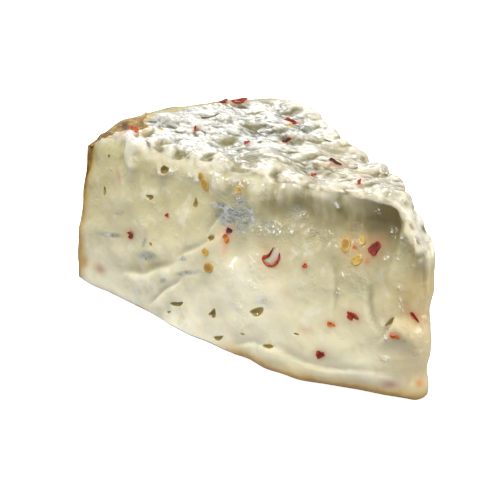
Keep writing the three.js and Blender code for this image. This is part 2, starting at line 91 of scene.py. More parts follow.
scene = bpy.context.scene
level = math.cos(ELEVATION)
away = Vector((math.sin(AZIMUTH) * level, -math.cos(AZIMUTH) * level, math.sin(ELEVATION)))
aim = away.to_track_quat("Z", "Y").to_matrix() @ Matrix.Rotation(ROLL, 3, "Z")
camera = bpy.data.objects.new("camera", bpy.data.cameras.new("camera"))
camera.data.lens = CAMERA_LENS
camera.data.clip_start, camera.data.clip_end = 0.02, 20
camera.matrix_world = Matrix.Translation(CAMERA_TARGET + away * CAMERA_DISTANCE) @ aim.to_4x4()
scene.collection.objects.link(camera)
scene.camera = camera
print("camera at, mm:", [round(v / MM) for v in camera.matrix_world.translation])

# %% [markdown]
# ## Small helpers for colours and nodes
#
# Colours are written as sRGB hex values, as a paint chart gives them, and one function turns them to
# the linear values that a renderer needs. `add` makes a node of any kind, with its settings, and `feed`
# sets its inputs or links them. A finish is then a table: `paint` lays tints over one another, each as
# strong as the product of some parts.

# %% Helpers for colours and nodes
def hex_colour(text):
    """Linear RGBA of an sRGB hex colour such as '#d8d0b0'."""
    channels = [int(text[i:i + 2], 16) / 255 for i in (1, 3, 5)]
    return (*(c / 12.92 if c <= 0.04045 else ((c + 0.055) / 1.055) ** 2.4 for c in channels), 1.0)


def feed(tree, node, *values, **named):
    """Fills inputs, in their order and by name, with values, or with links from nodes and sockets."""
    free = [s for s in node.inputs if s.enabled]
    pairs = list(zip(free, values))
    for name, value in named.items():
        pairs.append((next(s for s in free if s.name == name.replace("_", " ")), value))
    for socket, value in pairs:
        if isinstance(value, bpy.types.Node):
            value = next(s for s in value.outputs if s.enabled)
        if isinstance(value, bpy.types.NodeSocket):
            tree.links.new(value, socket)
        else:
            socket.default_value = hex_colour(value) if str(value).startswith("#") else value


def add(tree, kind, *values, stops=(), **named):
    """Adds a node. Names that start with a capital are inputs, and the others are settings."""
    family = next(f for f in ("Shader", "Geometry", "Function") if hasattr(bpy.types, f"{f}Node{kind}"))
    made = tree.nodes.new(f"{family}Node{kind}")
    for name in [name for name in named if name[0].islower()]:
        setattr(made, name, named.pop(name))
    feed(tree, made, *values, **named)
    for index, (position, colour) in enumerate(stops):
        elements = made.color_ramp.elements
        element = elements[index] if index < len(elements) else elements.new(position)
        element.position, element.color = position, hex_colour(colour)
    return made


def product(tree, *parts):
    """Multiplies parts. A tuple is a value to be stretched first, from low..high to least..most."""
    total = None
    for part in parts:
        if isinstance(part, tuple):
            part = add(tree, "MapRange", *part)
        total = part if total is None else add(tree, "Math", total, part, operation="MULTIPLY")
    return total


def paint(tree, colour, *layers):
    """Lays tints over a colour. A layer is a tint and the parts of its strength."""
    for tint, *strength in layers:
        colour = add(tree, "Mix", product(tree, *strength), colour, tint, data_type="RGBA")
    return colour


def facts(tree, *names):
    """Values that are stored at the vertices, for a material to read."""
    return [add(tree, "Attribute", attribute_name=name).outputs["Fac"] for name in names]


def new_material(name, **constants):
    """A material with the usual shader, its tree and the shader, whose constant inputs are set."""
    material = bpy.data.materials.new(name)
    material.use_nodes = True
    shader = material.node_tree.nodes["Principled BSDF"]
    feed(material.node_tree, shader, **constants)
    return material, material.node_tree, shader


# %% [markdown]
# ## The studio
#
# A white table, a large soft lamp above and behind the cheese, and weaker ones in front. The lamp
# behind makes the wet top shine and lets every crease throw its shadow towards the viewer. The table is
# hidden from the light that bounces, or a white table this size would fill every shadow from below. Its
# laminate is matt and evenly white, so nothing in it draws the eye.

# %% Light the table
WHITE = "#ffffff"
WORLD_LIGHT, TABLE_GLOW = 0.42, 0.8
TABLE_HALF, TABLE_BELOW = 4.0, 0.0002
LAMPS_AIM = Vector((0, 0, 0.03))
LAMPS = {  # place, diameter, watts
    "behind": ((-1.0, 0.5, 0.5), 0.3, 2.8),
    "overhead": ((0.05, -0.3, 1.1), 0.6, 9.5),
    "side": ((0.85, 0.5, 0.4), 0.5, 4.5),
    "front": ((0.45, -1.0, 0.8), 0.16, 1.4),
    "spark": ((-0.5, -1.0, 0.55), 0.09, 1.3),
    "low": ((0.7, -1.0, 0.25), 0.8, 2.6),
}

world = bpy.data.worlds.new("soft studio")
world.use_nodes = True
feed(world.node_tree, world.node_tree.nodes["Background"], WHITE, WORLD_LIGHT)
scene.world = world
scene.view_settings.view_transform = "Standard"

for name, (at, size, watts) in LAMPS.items():
    light = bpy.data.lights.new(name, "AREA")
    light.shape, light.size, light.energy = "DISK", size, watts
    holder = bpy.data.objects.new(name, light)
    holder.location = at
    holder.rotation_euler = (LAMPS_AIM - holder.location).to_track_quat("-Z", "Y").to_euler()
    scene.collection.objects.link(holder)

corners = [(x * TABLE_HALF, y * TABLE_HALF, -TABLE_BELOW) for x, y in ((-1, -1), (1, -1), (1, 1), (-1, 1))]
table_mesh = bpy.data.meshes.new("table")
table_mesh.from_pydata(corners, [], [(0, 1, 2, 3)])
table = bpy.data.objects.new("table", table_mesh)
table.visible_diffuse = False
table.visible_glossy = False
scene.collection.objects.link(table)
laminate, *_ = new_material("white laminate table", Base_Color=WHITE, Roughness=0.9,
                            Emission_Color=WHITE, Emission_Strength=TABLE_GLOW)
table_mesh.materials.append(laminate)
print("lamps:", list(LAMPS))

# %% [markdown]
# ## The plain wedge
#
# Every place on the cheese is found in two steps. First comes the plain sector, with a blunt point, a
# rounded top edge, and a top that rolls down at the point and at the heel's shoulder. Then one function
# moves every point of it. Sculpting would give the same form, but formulas keep it exact: the frame's
# solid follows the same ones, so the fine skin made here fits it. Lengths are millimetres from the
# place where the two cuts would meet.

# %% Sizes of the plain wedge
RADIUS, HEIGHT = 153.0, 62.0
HALF_ANGLE = math.radians(33.6 / 2)
POINT_RADIUS = 2.7
NOSE_ROUND = 16.0
SHOULDER_ROUND, SHOULDER_LEAST = 8.0, 2.0
CORNER_DROP = 3.0
EDGE_ROUND, POINT_EDGE_ROUND, SHARP_REACH = 2.4, 1.3, 8.0
BASE_ROUND = 1.2
SLUMP_REACH, SLUMP_PEAK, SLUMP_DEPTH = 160.0, 62.0, 24.0
SLUMP_POWER = math.log(0.5) / math.log(SLUMP_PEAK / SLUMP_REACH)
HEEL_SPREAD, HEEL_BAND = 9.4, 30.0
NOSE_SWELLS = [(49, 9, 1.4), (20, 6, 2.2), (0, 9, 3.4)]  # height, half height, reach outwards
NOSE_DEPTH = 12.0
LOBE_BAND, LOBE_DEPTH = 5.0, 8.0
FOLD_SHARE = 0.45  # finer relief takes over part of the folds
SWELL, RIPPLE, SMEAR, RIND_WAVE = 0.9, 0.35, 1.1, 0.5  # heights of the rolling waves

FACING = math.pi / 2 - HALF_ANGLE  # direction that a cut face looks in
POINT_CENTRE = -POINT_RADIUS / math.sin(HALF_ANGLE)
POINT_END = POINT_CENTRE + POINT_RADIUS
POINT_START = POINT_RADIUS / math.tan(HALF_ANGLE)
GOLDEN_ANGLE = math.pi * (3 - math.sqrt(5))


def smooth(low, high, x):
    """0 below low, 1 above high, and a soft step between."""
    t = np.clip((x - low) / (high - low), 0, 1)
    return t * t * (3 - 2 * t)


def bell(x):
    return np.exp(-np.square(x))


def mix(a, b, t):
    return a * (1 - t) + b * t


def waves(p, length, count, phase):
    """Rolling waves: a sum of sines whose directions are spread over a sphere."""
    total = 0
    for k in range(count):
        dz = 1 - (2 * k + 1) / count
        flat = math.sqrt(1 - dz * dz)
        turn = GOLDEN_ANGLE * k + phase
        reach = length * (0.7 + 0.6 * k / count)
        along = p @ np.array([flat * math.cos(turn), flat * math.sin(turn), dz])
        total = total + np.sin(2 * math.pi * along / reach + phase * (k + 1))
    return total / math.sqrt(count)


# %% [markdown]
# ## What is on the two cut faces
#
# On a cut face a place is (along, up): from the point along the face, and above the base. The front
# face is written out, lobe by lobe and fold by fold, because each has its own form. The back face
# carries the same kinds of things, strewn by a seeded draw. The draw must give the same places as the
# frame's solid has, so it uses the same small generator of random numbers, in the same order.

# %% Strew the back face and the top
RANDOM_SEED = 11
WORD = 0xFFFFFFFF


def seeded_random(seed):
    """A source of numbers from 0 to 1, in 32-bit arithmetic."""
    state = seed
    while True:
        state = (state + 0x6D2B79F5) & WORD
        t = ((state ^ (state >> 15)) * (state | 1)) & WORD
        t = ((t + (((t ^ (t >> 7)) * (t | 61)) & WORD)) & WORD) ^ t
        yield (t ^ (t >> 14)) / (WORD + 1)


draws = seeded_random(RANDOM_SEED)


def between(low, high):
    return mix(low, high, next(draws))


def strew(count, along_range, up_range, make):
    """Spreads places evenly: one in each of as many strips, at a drawn height."""
    strip = (along_range[1] - along_range[0]) / count
    made = []
    for k in range(count):
        along = along_range[0] + strip * (k + between(0.15, 0.85))
        made.append(make((along, between(*up_range))))
    return made


def grain(sizes, slim):
    def make(at):
        long = between(*sizes)
        return *at, long, long * slim, between(0, 180)
    return make


def across_top(make):
    """On the top, a drawn height is a share of the half width at that x."""
    return lambda at: make((at[0], -at[0] * math.tan(HALF_ANGLE) * at[1]))


BACK_AREA, TOP_AREA = ((12, 145), (5, 55)), ((-135, -25), (-0.75, 0.75))
HOLLOW_SIZES, FLAKE_SIZES, SEED_SIZES = (3, 6), (2.5, 5.5), (3, 4.4)
back_hollows = strew(9, *BACK_AREA, grain(HOLLOW_SIZES, 0.5))
back_flakes = strew(9, *BACK_AREA, grain(FLAKE_SIZES, 0.55))
back_seeds = strew(7, *BACK_AREA, grain(SEED_SIZES, 0.85))
BACK_FOLDS = strew(5, (20, 130), (10, 45), lambda at: (
    at, (at[0] + between(14, 26), at[1] + between(-12, 8)), between(1, 1.8), between(1, 2.2), between(3, 5)))
BACK_LOBES = strew(5, (18, 138), (0, 1), lambda at: (
    at[0], between(5, 9), between(2.5, 4.5), between(0.5, 3.5)))
top_flakes = strew(4, *TOP_AREA, across_top(grain(FLAKE_SIZES, 0.5)))
top_seeds = strew(4, *TOP_AREA, across_top(grain(SEED_SIZES, 0.85)))
print("strewn:", len(back_hollows), "hollows,", len(back_flakes), "flakes,", len(back_seeds), "seeds")

# %% [markdown]
# A face also says which way it runs and looks, how far its foot slumps, and how much of its lobes it
# shows: on the front, finer relief takes over part of them.

# %% Describe the two faces
def cut_face(side, **own):
    along = np.array([-math.cos(HALF_ANGLE), side * math.sin(HALF_ANGLE), 0.0])
    out = np.array([math.sin(HALF_ANGLE), side * math.cos(HALF_ANGLE), 0.0])
    return SimpleNamespace(side=side, along=along, out=out, **own)


front = cut_face(
    -1, slump=15.8, lobe_share=0.55,
    # place along the edge, half width, overhang, droop
    lobes=[(126, 6, 4.5, 4), (110, 5, 4, 4.5), (95, 8, 3, 0.5), (80, 4.5, 4.5, 3), (62, 8, 3, 1.5),
           (45, 7, 3.6, 1.5), (29, 9, 4.2, 1)],
    # from, to, depth of the groove, height of the lip below it, width
    folds=[((130, 11.5), (103, 24.5), 1.6, 2.2, 5), ((101, 27), (84, 37), 1.4, 1.2, 3.5),
           ((116, 5), (98, 18.5), 1.2, 1.6, 3.5), ((89, 37), (82, 48), 1.8, -1.2, 4),
           ((36, 39), (33, 25), 1.1, 0.8, 5), ((22, 34), (18, 22), 1.4, 1.1, 4),
           ((19, 19), (13.5, 27), 1.6, 1.6, 2.5), ((70, 3.5), (50, 8.5), 0.9, 0.7, 3),
           ((53, 8.5), (18, 6.5), 0.9, 0.7, 3)],
    # place, half width and half height, how far it stands out
    lumps=[((75, 26), (22, 12), 1.2), ((60, 10), (30, 6), 0.8), ((10.5, 22), (6, 6.5), 1.8),
           ((8, 44), (7, 13), 2.2)],
    # the hollow under the top edge: start and how sharp, end and how soft, height, half height, depth
    recess=(16, 1.6, 70, 34, 52, 8.5, 4.6))
back = cut_face(
    1, slump=7.0, lobe_share=1.0, lobes=BACK_LOBES, folds=BACK_FOLDS, lumps=[((9, 44), (9, 13), 1.2)],
    recess=(22, 8, 90, 40, 50, 9, 1.8))
FACES = {"front": front, "back": back}
print("lobes:", len(front.lobes), "in front and", len(back.lobes), "behind")

# %% [markdown]
# ## The slump
#
# `deform` takes points of the plain wedge with their outward normals. Cut faces swell out at the foot,
# lobes hang over the edge, folds and lumps stand on the faces, the heel spreads, the point bulges, and
# long soft waves roll over everything. It works on whole arrays at once, so a fine skin takes a moment.

# %% Height of the top, and the slump
def roll_down(distance, radius):
    short = radius - np.maximum(distance, 0)
    return np.where(distance >= radius, 0, radius - np.sqrt(np.maximum(radius**2 - short**2, 0)))


def turn_of(x, y):
    """-1 on the front face, 0 in the middle, 1 on the back face."""
    return np.arctan2(y, -x) / HALF_ANGLE


def heel_of(p, n):
    """Distance from the wheel's middle, the direction outwards, and how much a point is on the heel."""
    reach = np.hypot(p[:, 0], p[:, 1])
    radial = np.stack([p[:, 0] / reach, p[:, 1] / reach, 0 * reach], axis=1)
    looks_out = smooth(0.5, 0.9, (n * radial).sum(axis=1))
    return reach, radial, looks_out * smooth(RADIUS - 6, RADIUS - 1, reach)


def top_height(x, y):
    shoulder = mix(SHOULDER_ROUND, SHOULDER_LEAST, smooth(-1, -0.6, turn_of(x, y)))
    heel = roll_down(RADIUS - np.hypot(x, y), shoulder)
    return HEIGHT - np.maximum(roll_down(POINT_END - x, NOSE_ROUND), heel * 0.8)


def fold_place(fold, along, up):
    """How far below the line of a fold a place lies, and how strong the fold is there."""
    (a0, u0), (a1, u1), *_ = fold
    length = math.hypot(a1 - a0, u1 - u0)
    ta, tu = (a1 - a0) / length, (u1 - u0) / length
    run = ((along - a0) * ta + (up - u0) * tu) / length
    below = (along - a0) * tu - (up - u0) * ta
    below = below + 1.3 * np.sin(0.15 * along + 0.14 * up + 1) + 0.4 * np.sin(0.3 * along - 0.2 * up)
    return (-below if ta < 0 else below), smooth(-0.2, 0.25, run) * (1 - smooth(0.75, 1.2, run))


def fold_height(fold, along, up):
    *_, groove, lip, wide = fold
    side, taper = fold_place(fold, along, up)
    bulge = bell((side - 0.8 * wide) / wide) * smooth(-0.2 * wide, 0.3 * wide, side)
    sunk = bell(np.minimum(side, 0) / (0.5 * wide)) * (1 - smooth(0, 0.35 * wide, side))
    return FOLD_SHARE * taper * (lip * bulge - groove * sunk)


def face_height(face, along, up):
    """How far a cut face stands out of its plane."""
    start, sharp, end, fade, middle, half, depth = face.recess
    began = smooth(start - sharp, start + sharp, along)
    ending = 1 - smooth(end - fade, end, along)
    height = -depth * began * ending * bell((up - middle) / half)
    for at, (half_wide, half_high), out in face.lumps:
        height = height + out * bell((along - at[0]) / half_wide) * bell((up - at[1]) / half_high)
    for fold in face.folds:
        height = height + fold_height(fold, along, up)
    return height


def deform(p, n):
    """Moves points of the plain wedge to their places on the real one."""
    x, y, z = p.T
    level = np.clip(z / HEIGHT, 0, 1)
    moved = p.copy()
    for face in FACES.values():
        along, inside = p @ face.along, -(p @ face.out)
        share = np.clip(along / SLUMP_REACH, 0, 1)
        swelling = face.slump * np.sin(math.pi * share**SLUMP_POWER) * (1 - level) ** 0.8
        moved += np.outer(swelling * (1 - smooth(0, SLUMP_DEPTH, inside)), face.out)
        for place, half, out, drop in face.lobes:
            band = bell(np.maximum(0, HEIGHT - LOBE_BAND - z) / LOBE_BAND)
            pull = face.lobe_share * bell((along - place) / half) * band * bell(inside / LOBE_DEPTH)
            moved += np.outer(out * pull, face.out)
            moved[:, 2] -= drop * pull * level
        facing = smooth(0.6, 0.95, n @ face.out)
        moved += np.outer(face_height(face, along, z) * facing, face.out)
    reach, radial, on_heel = heel_of(p, n)
    moved += radial * (HEEL_SPREAD * (1 - level) * smooth(RADIUS - HEEL_BAND, RADIUS, reach))[:, None]
    at_corner = smooth(RADIUS - 22, RADIUS, reach) * smooth(0.45, 1, turn_of(x, y))
    moved[:, 2] -= CORNER_DROP * at_corner * level**3
    for middle, half, out in NOSE_SWELLS:
        moved[:, 0] += out * bell((z - middle) / half) * bell((POINT_END - x) / NOSE_DEPTH)

    # The smears of the top are long, and there are none at the heel's rim.
    smear_here = SMEAR * smooth(0.5, 0.9, n[:, 2]) * smooth(0, 14, RADIUS - reach)
    paste = (SWELL * waves(p, 42, 9, 1.3) + RIPPLE * waves(p, 13, 11, 4.1)
             + smear_here * waves(p * [0.35, 1.4, 1.0], 15, 9, 2.2))
    relief = mix(paste, RIND_WAVE * waves(p, 18, 9, 5.2), on_heel)
    grounded = smooth(0, 6, z)  # the foot stays level on the table
    moved += n * np.stack([relief, relief, relief * grounded], axis=1)
    moved[:, 2] = np.maximum(moved[:, 2], 0)
    return moved


# %% [markdown]
# ## The skin
#
# Stations run once round the outline, and a column of points climbs the wall at each and goes over the
# rounded top edge. The top is a grid between the four sides of the last ring, blended so that its rows
# follow both cuts and both ends. The foot is closed by one flat face.

# %% Lay out the plain skin
ALONG, ACROSS, UP, OVER_EDGE = 220, 112, 70, 4  # how many steps the skin takes each way


def arc(centre, radius, middle, half, edge):
    angle = middle + mix(-half, half, np.arange(ACROSS) / ACROSS)
    return np.column_stack([centre + radius * np.cos(angle), radius * np.sin(angle), angle, edge + 0 * angle])


def straight(face, start, end):
    walk = np.linspace(start, end, ALONG, endpoint=False)
    edge = mix(POINT_EDGE_ROUND, EDGE_ROUND, smooth(POINT_START, POINT_START + SHARP_REACH, walk))
    return np.column_stack([np.outer(walk, face.along[:2]), face.side * FACING + 0 * walk, edge])


def outline():
    """Stations seen from above, anticlockwise from the point: x, y, direction of the normal, edge round."""
    tip = arc(POINT_CENTRE, POINT_RADIUS, 0, FACING, POINT_EDGE_ROUND)
    heel = arc(0, RADIUS, math.pi, HALF_ANGLE, EDGE_ROUND)
    heel[0, 2] = (FACING + heel[0, 2]) / 2
    homeward = straight(front, RADIUS, POINT_START)
    homeward[0, 2] = (math.pi + HALF_ANGLE + 2 * math.pi - FACING) / 2
    return np.vstack([tip, straight(back, POINT_START, RADIUS), heel, homeward])


def wall_columns(stations):
    """Points and normals of the wall, one row of the result for each station."""
    x, y, angle, edge = stations.T
    nx, ny, none = np.cos(angle), np.sin(angle), 0 * x
    points, normals = [], []

    def ring(inset, tilt, height):
        px, py = x - nx * inset, y - ny * inset
        points.append(np.stack([px, py, height(px, py)], axis=1))
        normals.append(np.stack([nx * math.cos(tilt), ny * math.cos(tilt), none + math.sin(tilt)], axis=1))

    ring(BASE_ROUND, 0, lambda px, py: none)
    for j in range(UP + 1):
        ring(0, 0, lambda px, py: mix(BASE_ROUND, top_height(px, py) - edge, j / UP))
    for j in range(1, OVER_EDGE + 1):
        tilt = math.pi / 2 * j / OVER_EDGE
        below = edge * (1 - math.sin(tilt))
        ring(edge * (1 - math.cos(tilt)), tilt, lambda px, py: top_height(px, py) - below)
    return np.stack(points, axis=1), np.stack(normals, axis=1)


def plain_skin():
    """Points, normals and faces of the plain wedge."""
    points, normals = wall_columns(outline())
    count, rows = points.shape[:2]
    index = np.arange(count * rows).reshape(count, rows)
    after = np.roll(index, -1, axis=0)
    wall = np.stack([index[:, :-1], after[:, :-1], after[:, 1:], index[:, 1:]], axis=-1).reshape(-1, 4)

    # Where the four sides of the top's grid are on the last ring.
    i, j = np.arange(ALONG + 1), np.arange(ACROSS + 1)
    sides = SimpleNamespace(front=-i % count, back=ACROSS + i, tip=j, heel=2 * ACROSS + ALONG - j)
    rim = points[:, -1]
    u, v = (i / ALONG)[:, None, None], (j / ACROSS)[None, :, None]
    corners = [rim[0], rim[ACROSS], rim[-ALONG], rim[ACROSS + ALONG]]
    middle = mix(mix(corners[0], corners[1], v), mix(corners[2], corners[3], v), u)
    along = mix(rim[sides.front][:, None], rim[sides.back][:, None], v)
    across = mix(rim[sides.tip][None], rim[sides.heel][None], u)
    inner = (along + across - middle)[1:-1, 1:-1].reshape(-1, 3)
    inner[:, 2] = top_height(inner[:, 0], inner[:, 1])

    grid = np.empty((ALONG + 1, ACROSS + 1), int)
    grid[:, 0], grid[:, -1] = index[sides.front, -1], index[sides.back, -1]
    grid[0, :], grid[-1, :] = index[sides.tip, -1], index[sides.heel, -1]
    grid[1:-1, 1:-1] = count * rows + np.arange(len(inner)).reshape(ALONG - 1, ACROSS - 1)
    top = np.stack([grid[:-1, :-1], grid[:-1, 1:], grid[1:, 1:], grid[1:, :-1]], axis=-1).reshape(-1, 4)

    upward = np.tile([0.0, 0.0, 1.0], (len(inner), 1))
    faces = [*wall.tolist(), *top.tolist(), index[::-1, 0].tolist()]
    return np.vstack([points.reshape(-1, 3), inner]), np.vstack([normals.reshape(-1, 3), upward]), faces


plain_points, plain_normals, skin_faces = plain_skin()
skin_points = deform(plain_points, plain_normals)
print("skin:", len(skin_points), "points,", len(skin_faces), "faces")

# %% [markdown]
# The formulas count from the place where the two cuts would meet. The frame's origin is the middle of
# the wedge's box instead, so the shift between them is read off the two boxes.

# %% Find the shift into the frame
low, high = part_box(WEDGE_NODE)
frame_middle = np.array((low + high) / 2) / MM
skin_middle = (skin_points.min(axis=0) + skin_points.max(axis=0)) / 2
SHIFT = np.array([*(frame_middle - skin_middle)[:2], 0.0])
print("shift into the frame, mm:", SHIFT.round(2))

# %% [markdown]
# ## Where things are, as attributes
#
# A finish has to know where it is: on the top, close to the rind, in a patch of mould, round a flake
# whose colour has run into the paste, or where shade or light is painted on. UV maps could carry that, but
# a value stored at each vertex is simpler, moves with the mesh, and serves the relief and the shaders alike.

# %% Find the faces, and patches on them
p, n = plain_points, plain_normals
x, y, z = p.T
reach, _, on_heel = heel_of(p, n)
turn = turn_of(x, y)
heel_distance = RADIUS - reach
on_top = smooth(0.35, 0.8, n[:, 2])
places, on_wall = {"top": (x, y)}, {"top": on_top}
for name, face in FACES.items():
    angle = np.arctan2(y, x - POINT_CENTRE) * face.side
    rounded = POINT_START - (FACING - angle) * POINT_RADIUS  # the face runs on round the blunt point
    at_tip = x > -POINT_START * math.cos(HALF_ANGLE)
    places[name] = (np.where(at_tip, rounded, p @ face.along), z)
    on_wall[name] = smooth(-0.2, 0.6, n @ face.out) * (1 - on_heel) * (1 - on_top)
along_front = places["front"][0]


def patch(where, at, half, turned=0.0):
    """1 in the middle of an oval patch, fading outwards. Turns are seen from outside, in degrees."""
    a, b = places[where]
    right = (a - at[0]) * (-1 if where == "front" else 1)
    up = b - at[1]
    c, s = math.cos(math.radians(turned)), math.sin(math.radians(turned))
    u, v = (right * c + up * s) / half[0], (up * c - right * s) / half[1]
    return bell(np.hypot(u, v)) * (on_wall[where] > 0.02)


def each(table):
    """Rows of a table, as face, place, size, turn and what else the row has."""
    for where, rows in table.items():
        for a, b, long, short, turned, *rest in rows:
            yield where, (a, b), (long, short), turned, *rest


def gather(table):
    """The strongest of a table's patches at each vertex."""
    return np.max([strength * patch(*row) for *row, strength in each(table)], axis=0)


print("on the top:", int((on_top > 0.5).sum()), "vertices, on the heel:", int((on_heel > 0.5).sum()))

# %% [markdown]
# The rind's depth is 0 on the rind and grows into the paste. The rind shows as a crescent on the rolled
# shoulder, with one scar where it has come off, and its inner border is ragged.

# %% Measure the rind's depth and the edges
CRESCENT, CRESCENT_DROP = 17.0, 1.5  # how far the rind shows on the shoulder, and how much lower it lies
SCAR = ("top", (-132, -37.5), (5, 2.6), 30)
SCAR_DEEP, BASE_FADE, RAGGED = 9.0, 6.0, 1.5  # in mm
shown = smooth(-1.03, -0.97, turn) * (1 - smooth(-0.72, -0.36, turn)) * on_top
ragged = RAGGED * waves(p, 7, 7, 2.7) * smooth(2, 6, heel_distance)
from_heel = np.maximum(heel_distance - CRESCENT * shown + ragged, 0) + SCAR_DEEP * patch(*SCAR)
from_base = z + BASE_FADE * smooth(66, 92, along_front) * on_wall["front"]
rind_depth = np.where(on_heel > 0.5, 0, np.minimum(from_heel, from_base))

# How far a place lies inside the two cuts, and how far below the top.
inside = np.minimum(np.minimum(-(p @ front.out), -(p @ back.out)), POINT_END - x)
below = top_height(x, y) - z
off_heel = 1 - smooth(RADIUS - 5, RADIUS - 1, reach) * (1 - smooth(0.8, 0.95, turn))
edge = (1 - smooth(2.0, 8.0, np.hypot(inside, below))) * off_heel
rim = on_top * (1 - smooth(5.4, 9.0, heel_distance)) * smooth(-0.62, -0.42, turn)  # the dry rim by the heel
lip = on_top * (1 - smooth(2.0, 4.5, heel_distance)) * smooth(-0.95, -0.8, turn)
print("rind on", int((rind_depth < 0.6).sum()), "vertices")

# %% [markdown]
# Mould, torn wet spots, spots of grit with painted glints, and stained spots with a few patches of painted
# light and shade are tables of patches. Each row has a place, half sizes, a turn and a strength. Shapes are
# drips and dents, and their last number is a height in millimetres. Buried chilli shows through the paste
# as a soft tint.

# %% List the patches
MOULD = {
    "front": [
        (76.5, 45.5, 9, 6.5, 0, 1), (62, 44.5, 7, 3.2, -8, 0.45), (54, 52, 6, 2.6, 0, 0.4),
        (137, 24, 5.5, 0.9, 14, 0.85), (117.5, 22, 6, 1.8, 14, 0.8), (119, 26.5, 3, 1.2, 50, 0.7),
        (132.5, 34, 2.6, 0.7, 20, 0.8), (107, 16, 2.2, 0.8, 30, 0.85), (95, 22, 5.5, 0.9, 18, 0.85),
        (97.5, 26.5, 2.2, 1, 18, 0.8), (58, 22, 5, 2.2, 0, 0.45), (12, 20, 7.5, 5.5, 0, 0.35),
    ],
    "back": [
        (70, 38, 10, 6, 20, 0.9), (112, 26, 7, 3, -15, 0.7), (40, 22, 8, 3, 10, 0.6),
        (128, 44, 6, 2.5, 5, 0.6), (92, 14, 6, 2, 25, 0.5),
    ],
}
TORN = {
    "front": [
        (98, 54, 3.6, 2, 0, 0.8), (86.5, 57, 4.5, 2.2, 0, 0.9), (74.5, 57, 3.6, 2.2, 0, 0.7),
        (76.5, 45.5, 7, 5, 0, 0.8), (57, 45, 5, 2.4, 0, 0.7), (45.5, 42.5, 4.5, 3, 20, 0.5),
        (54, 48.5, 4, 3, 0, 0.5), (28.5, 38, 2.2, 4.5, 10, 0.8), (14.5, 52, 3.5, 2.2, 0, 0.6),
        (12, 38, 2.2, 9, 0, 0.5), (16, 23, 4, 3.4, 0, 0.8), (103, 13, 5, 2.2, 20, 0.6),
        (66, 14, 4, 2, 0, 0.5),
    ],
    "back": [
        (60, 30, 8, 5, 30, 0.8), (108, 48, 7, 3, 0, 0.8), (30, 40, 5, 4, 0, 0.7),
    ],
}
# Sparkles raise fine grit, and near-white specks are painted on it as painted glints.
SPARKLES = {
    "front": [
        (108.5, 55.5, 4, 1.6, 0, 1), (96, 54.5, 4.5, 1.6, 0, 1), (86, 57, 3.5, 1.6, 0, 0.9),
        (75, 57, 4.5, 1.5, 0, 0.9), (76.5, 52, 2, 1.6, 0, 1), (66, 43, 3, 1.8, 0, 1),
        (59, 44, 3.4, 2.2, 0, 1), (53, 45.5, 1.6, 1.2, 0, 1), (50, 50, 1.6, 1.2, 0, 0.9),
        (64.5, 26, 3.5, 1.2, 0, 0.9), (70, 17.5, 3, 1.4, 0, 0.9), (38, 56, 1.5, 1.2, 0, 0.9),
        (23.5, 57, 1.2, 1.2, 0, 0.9), (19.5, 51, 1.2, 1.4, 0, 1), (14, 51.5, 1.8, 0.8, 0, 1),
        (31.5, 36, 1, 1.6, 0, 1), (32, 31, 1.4, 1, 0, 1), (12, 36, 0.9, 1.2, 0, 1), (11, 31, 0.8, 2.6, 0, 1),
        (16.5, 20, 1.2, 1.2, 0, 1), (17, 13, 1.6, 0.8, 0, 1), (8, 17, 1.6, 0.8, 0, 1),
    ],
    "top": [
        (-94, -20.2, 3, 2, 0, 1), (-54.5, -15.5, 5, 2, 0, 0.8),
    ],
    "back": [
        (64, 40, 6, 3, 0, 0.9), (100, 52, 7, 2, 0, 0.9), (36, 46, 4, 3, 0, 0.8),
    ],
}
SHAPES = {
    "front": [
        (112, 55, 2, 5, 0, 1.8), (105, 57, 2.4, 3, 0, -1), (86, 56.5, 1.8, 5.5, 8, 1.8),
        (79.5, 55, 2.2, 4.5, 0, -1.8), (70, 57, 2.6, 3.6, 0, 0.6), (62, 57.5, 2, 3, 0, -0.6),
        (53, 58, 2.2, 3, 0, 0.5), (133, 56, 1.6, 4.5, -6, -1.6), (126, 55, 2.2, 4, 0, 1.2),
    ],
    "top": [
        (-128.5, -36, 3.8, 3, 0, 2.2), (-125.5, -30.5, 1.3, 4.5, 25, -2), (-119, -33.5, 3.2, 2.6, 0, 1.6),
        (-112, -31, 2.4, 3.4, 0, -1.5), (-107.5, -29.5, 2.2, 4.5, 0, 2.6), (-102, -27.5, 2.4, 3.6, 0, -2.2),
        (-95.5, -26, 3.4, 2.8, 0, 2.4), (-90, -25, 1.8, 3, 0, -1.7), (-86, -23.5, 2.2, 3.6, 0, 2.4),
        (-80.5, -23, 2.2, 3.2, 0, 2.8), (-87, -17, 5, 2.4, 10, -2.2), (-74.5, -20.5, 3.6, 3.2, 0, -2.2),
        (-67, -18.5, 3.6, 2.6, 0, 0.9), (-60, -16, 2.6, 2, 20, -0.5), (-53, -14.5, 4.2, 2.4, 0, 1),
        (-46, -12, 2, 2, 0, -1), (-39, -10, 4, 2.4, 0, 0.9), (-33, -8, 2, 2, 0, -1),
        (-26, -6, 3, 2.2, 0, 0.8), (-64, 17.5, 7, 4, -17, 2.4), (-20, -2, 2.4, 2.2, 0, -0.8),
        (-80.5, -17.9, 4.5, 3.6, 59, -2.8), (-66.5, 1.3, 3.6, 2, 59, -1.6), (-74.5, 12.7, 4, 2.4, 20, -1.4),
        (-43, 7, 4.5, 2.8, 50, -2.2), (-136, -18, 7, 4, 59, 1.3), (-123, 27.4, 3, 1.8, 59, -1.2),
        (-125, 16, 4, 1.8, 59, -1.4), (-80.5, 22.2, 3, 2, 40, -1.4), (-82.5, 13.7, 2.6, 1.6, 50, -1.4),
        (-31.5, -1.8, 2.6, 1.8, 59, -1.3), (-106.5, -8, 3.4, 2.6, 75, -2), (-60, 16, 4, 3, 30, -2),
        (-95, 1, 3, 1.6, 59, -1.2), (-112, 6, 3.4, 1.5, 50, -1.2),
    ],
}
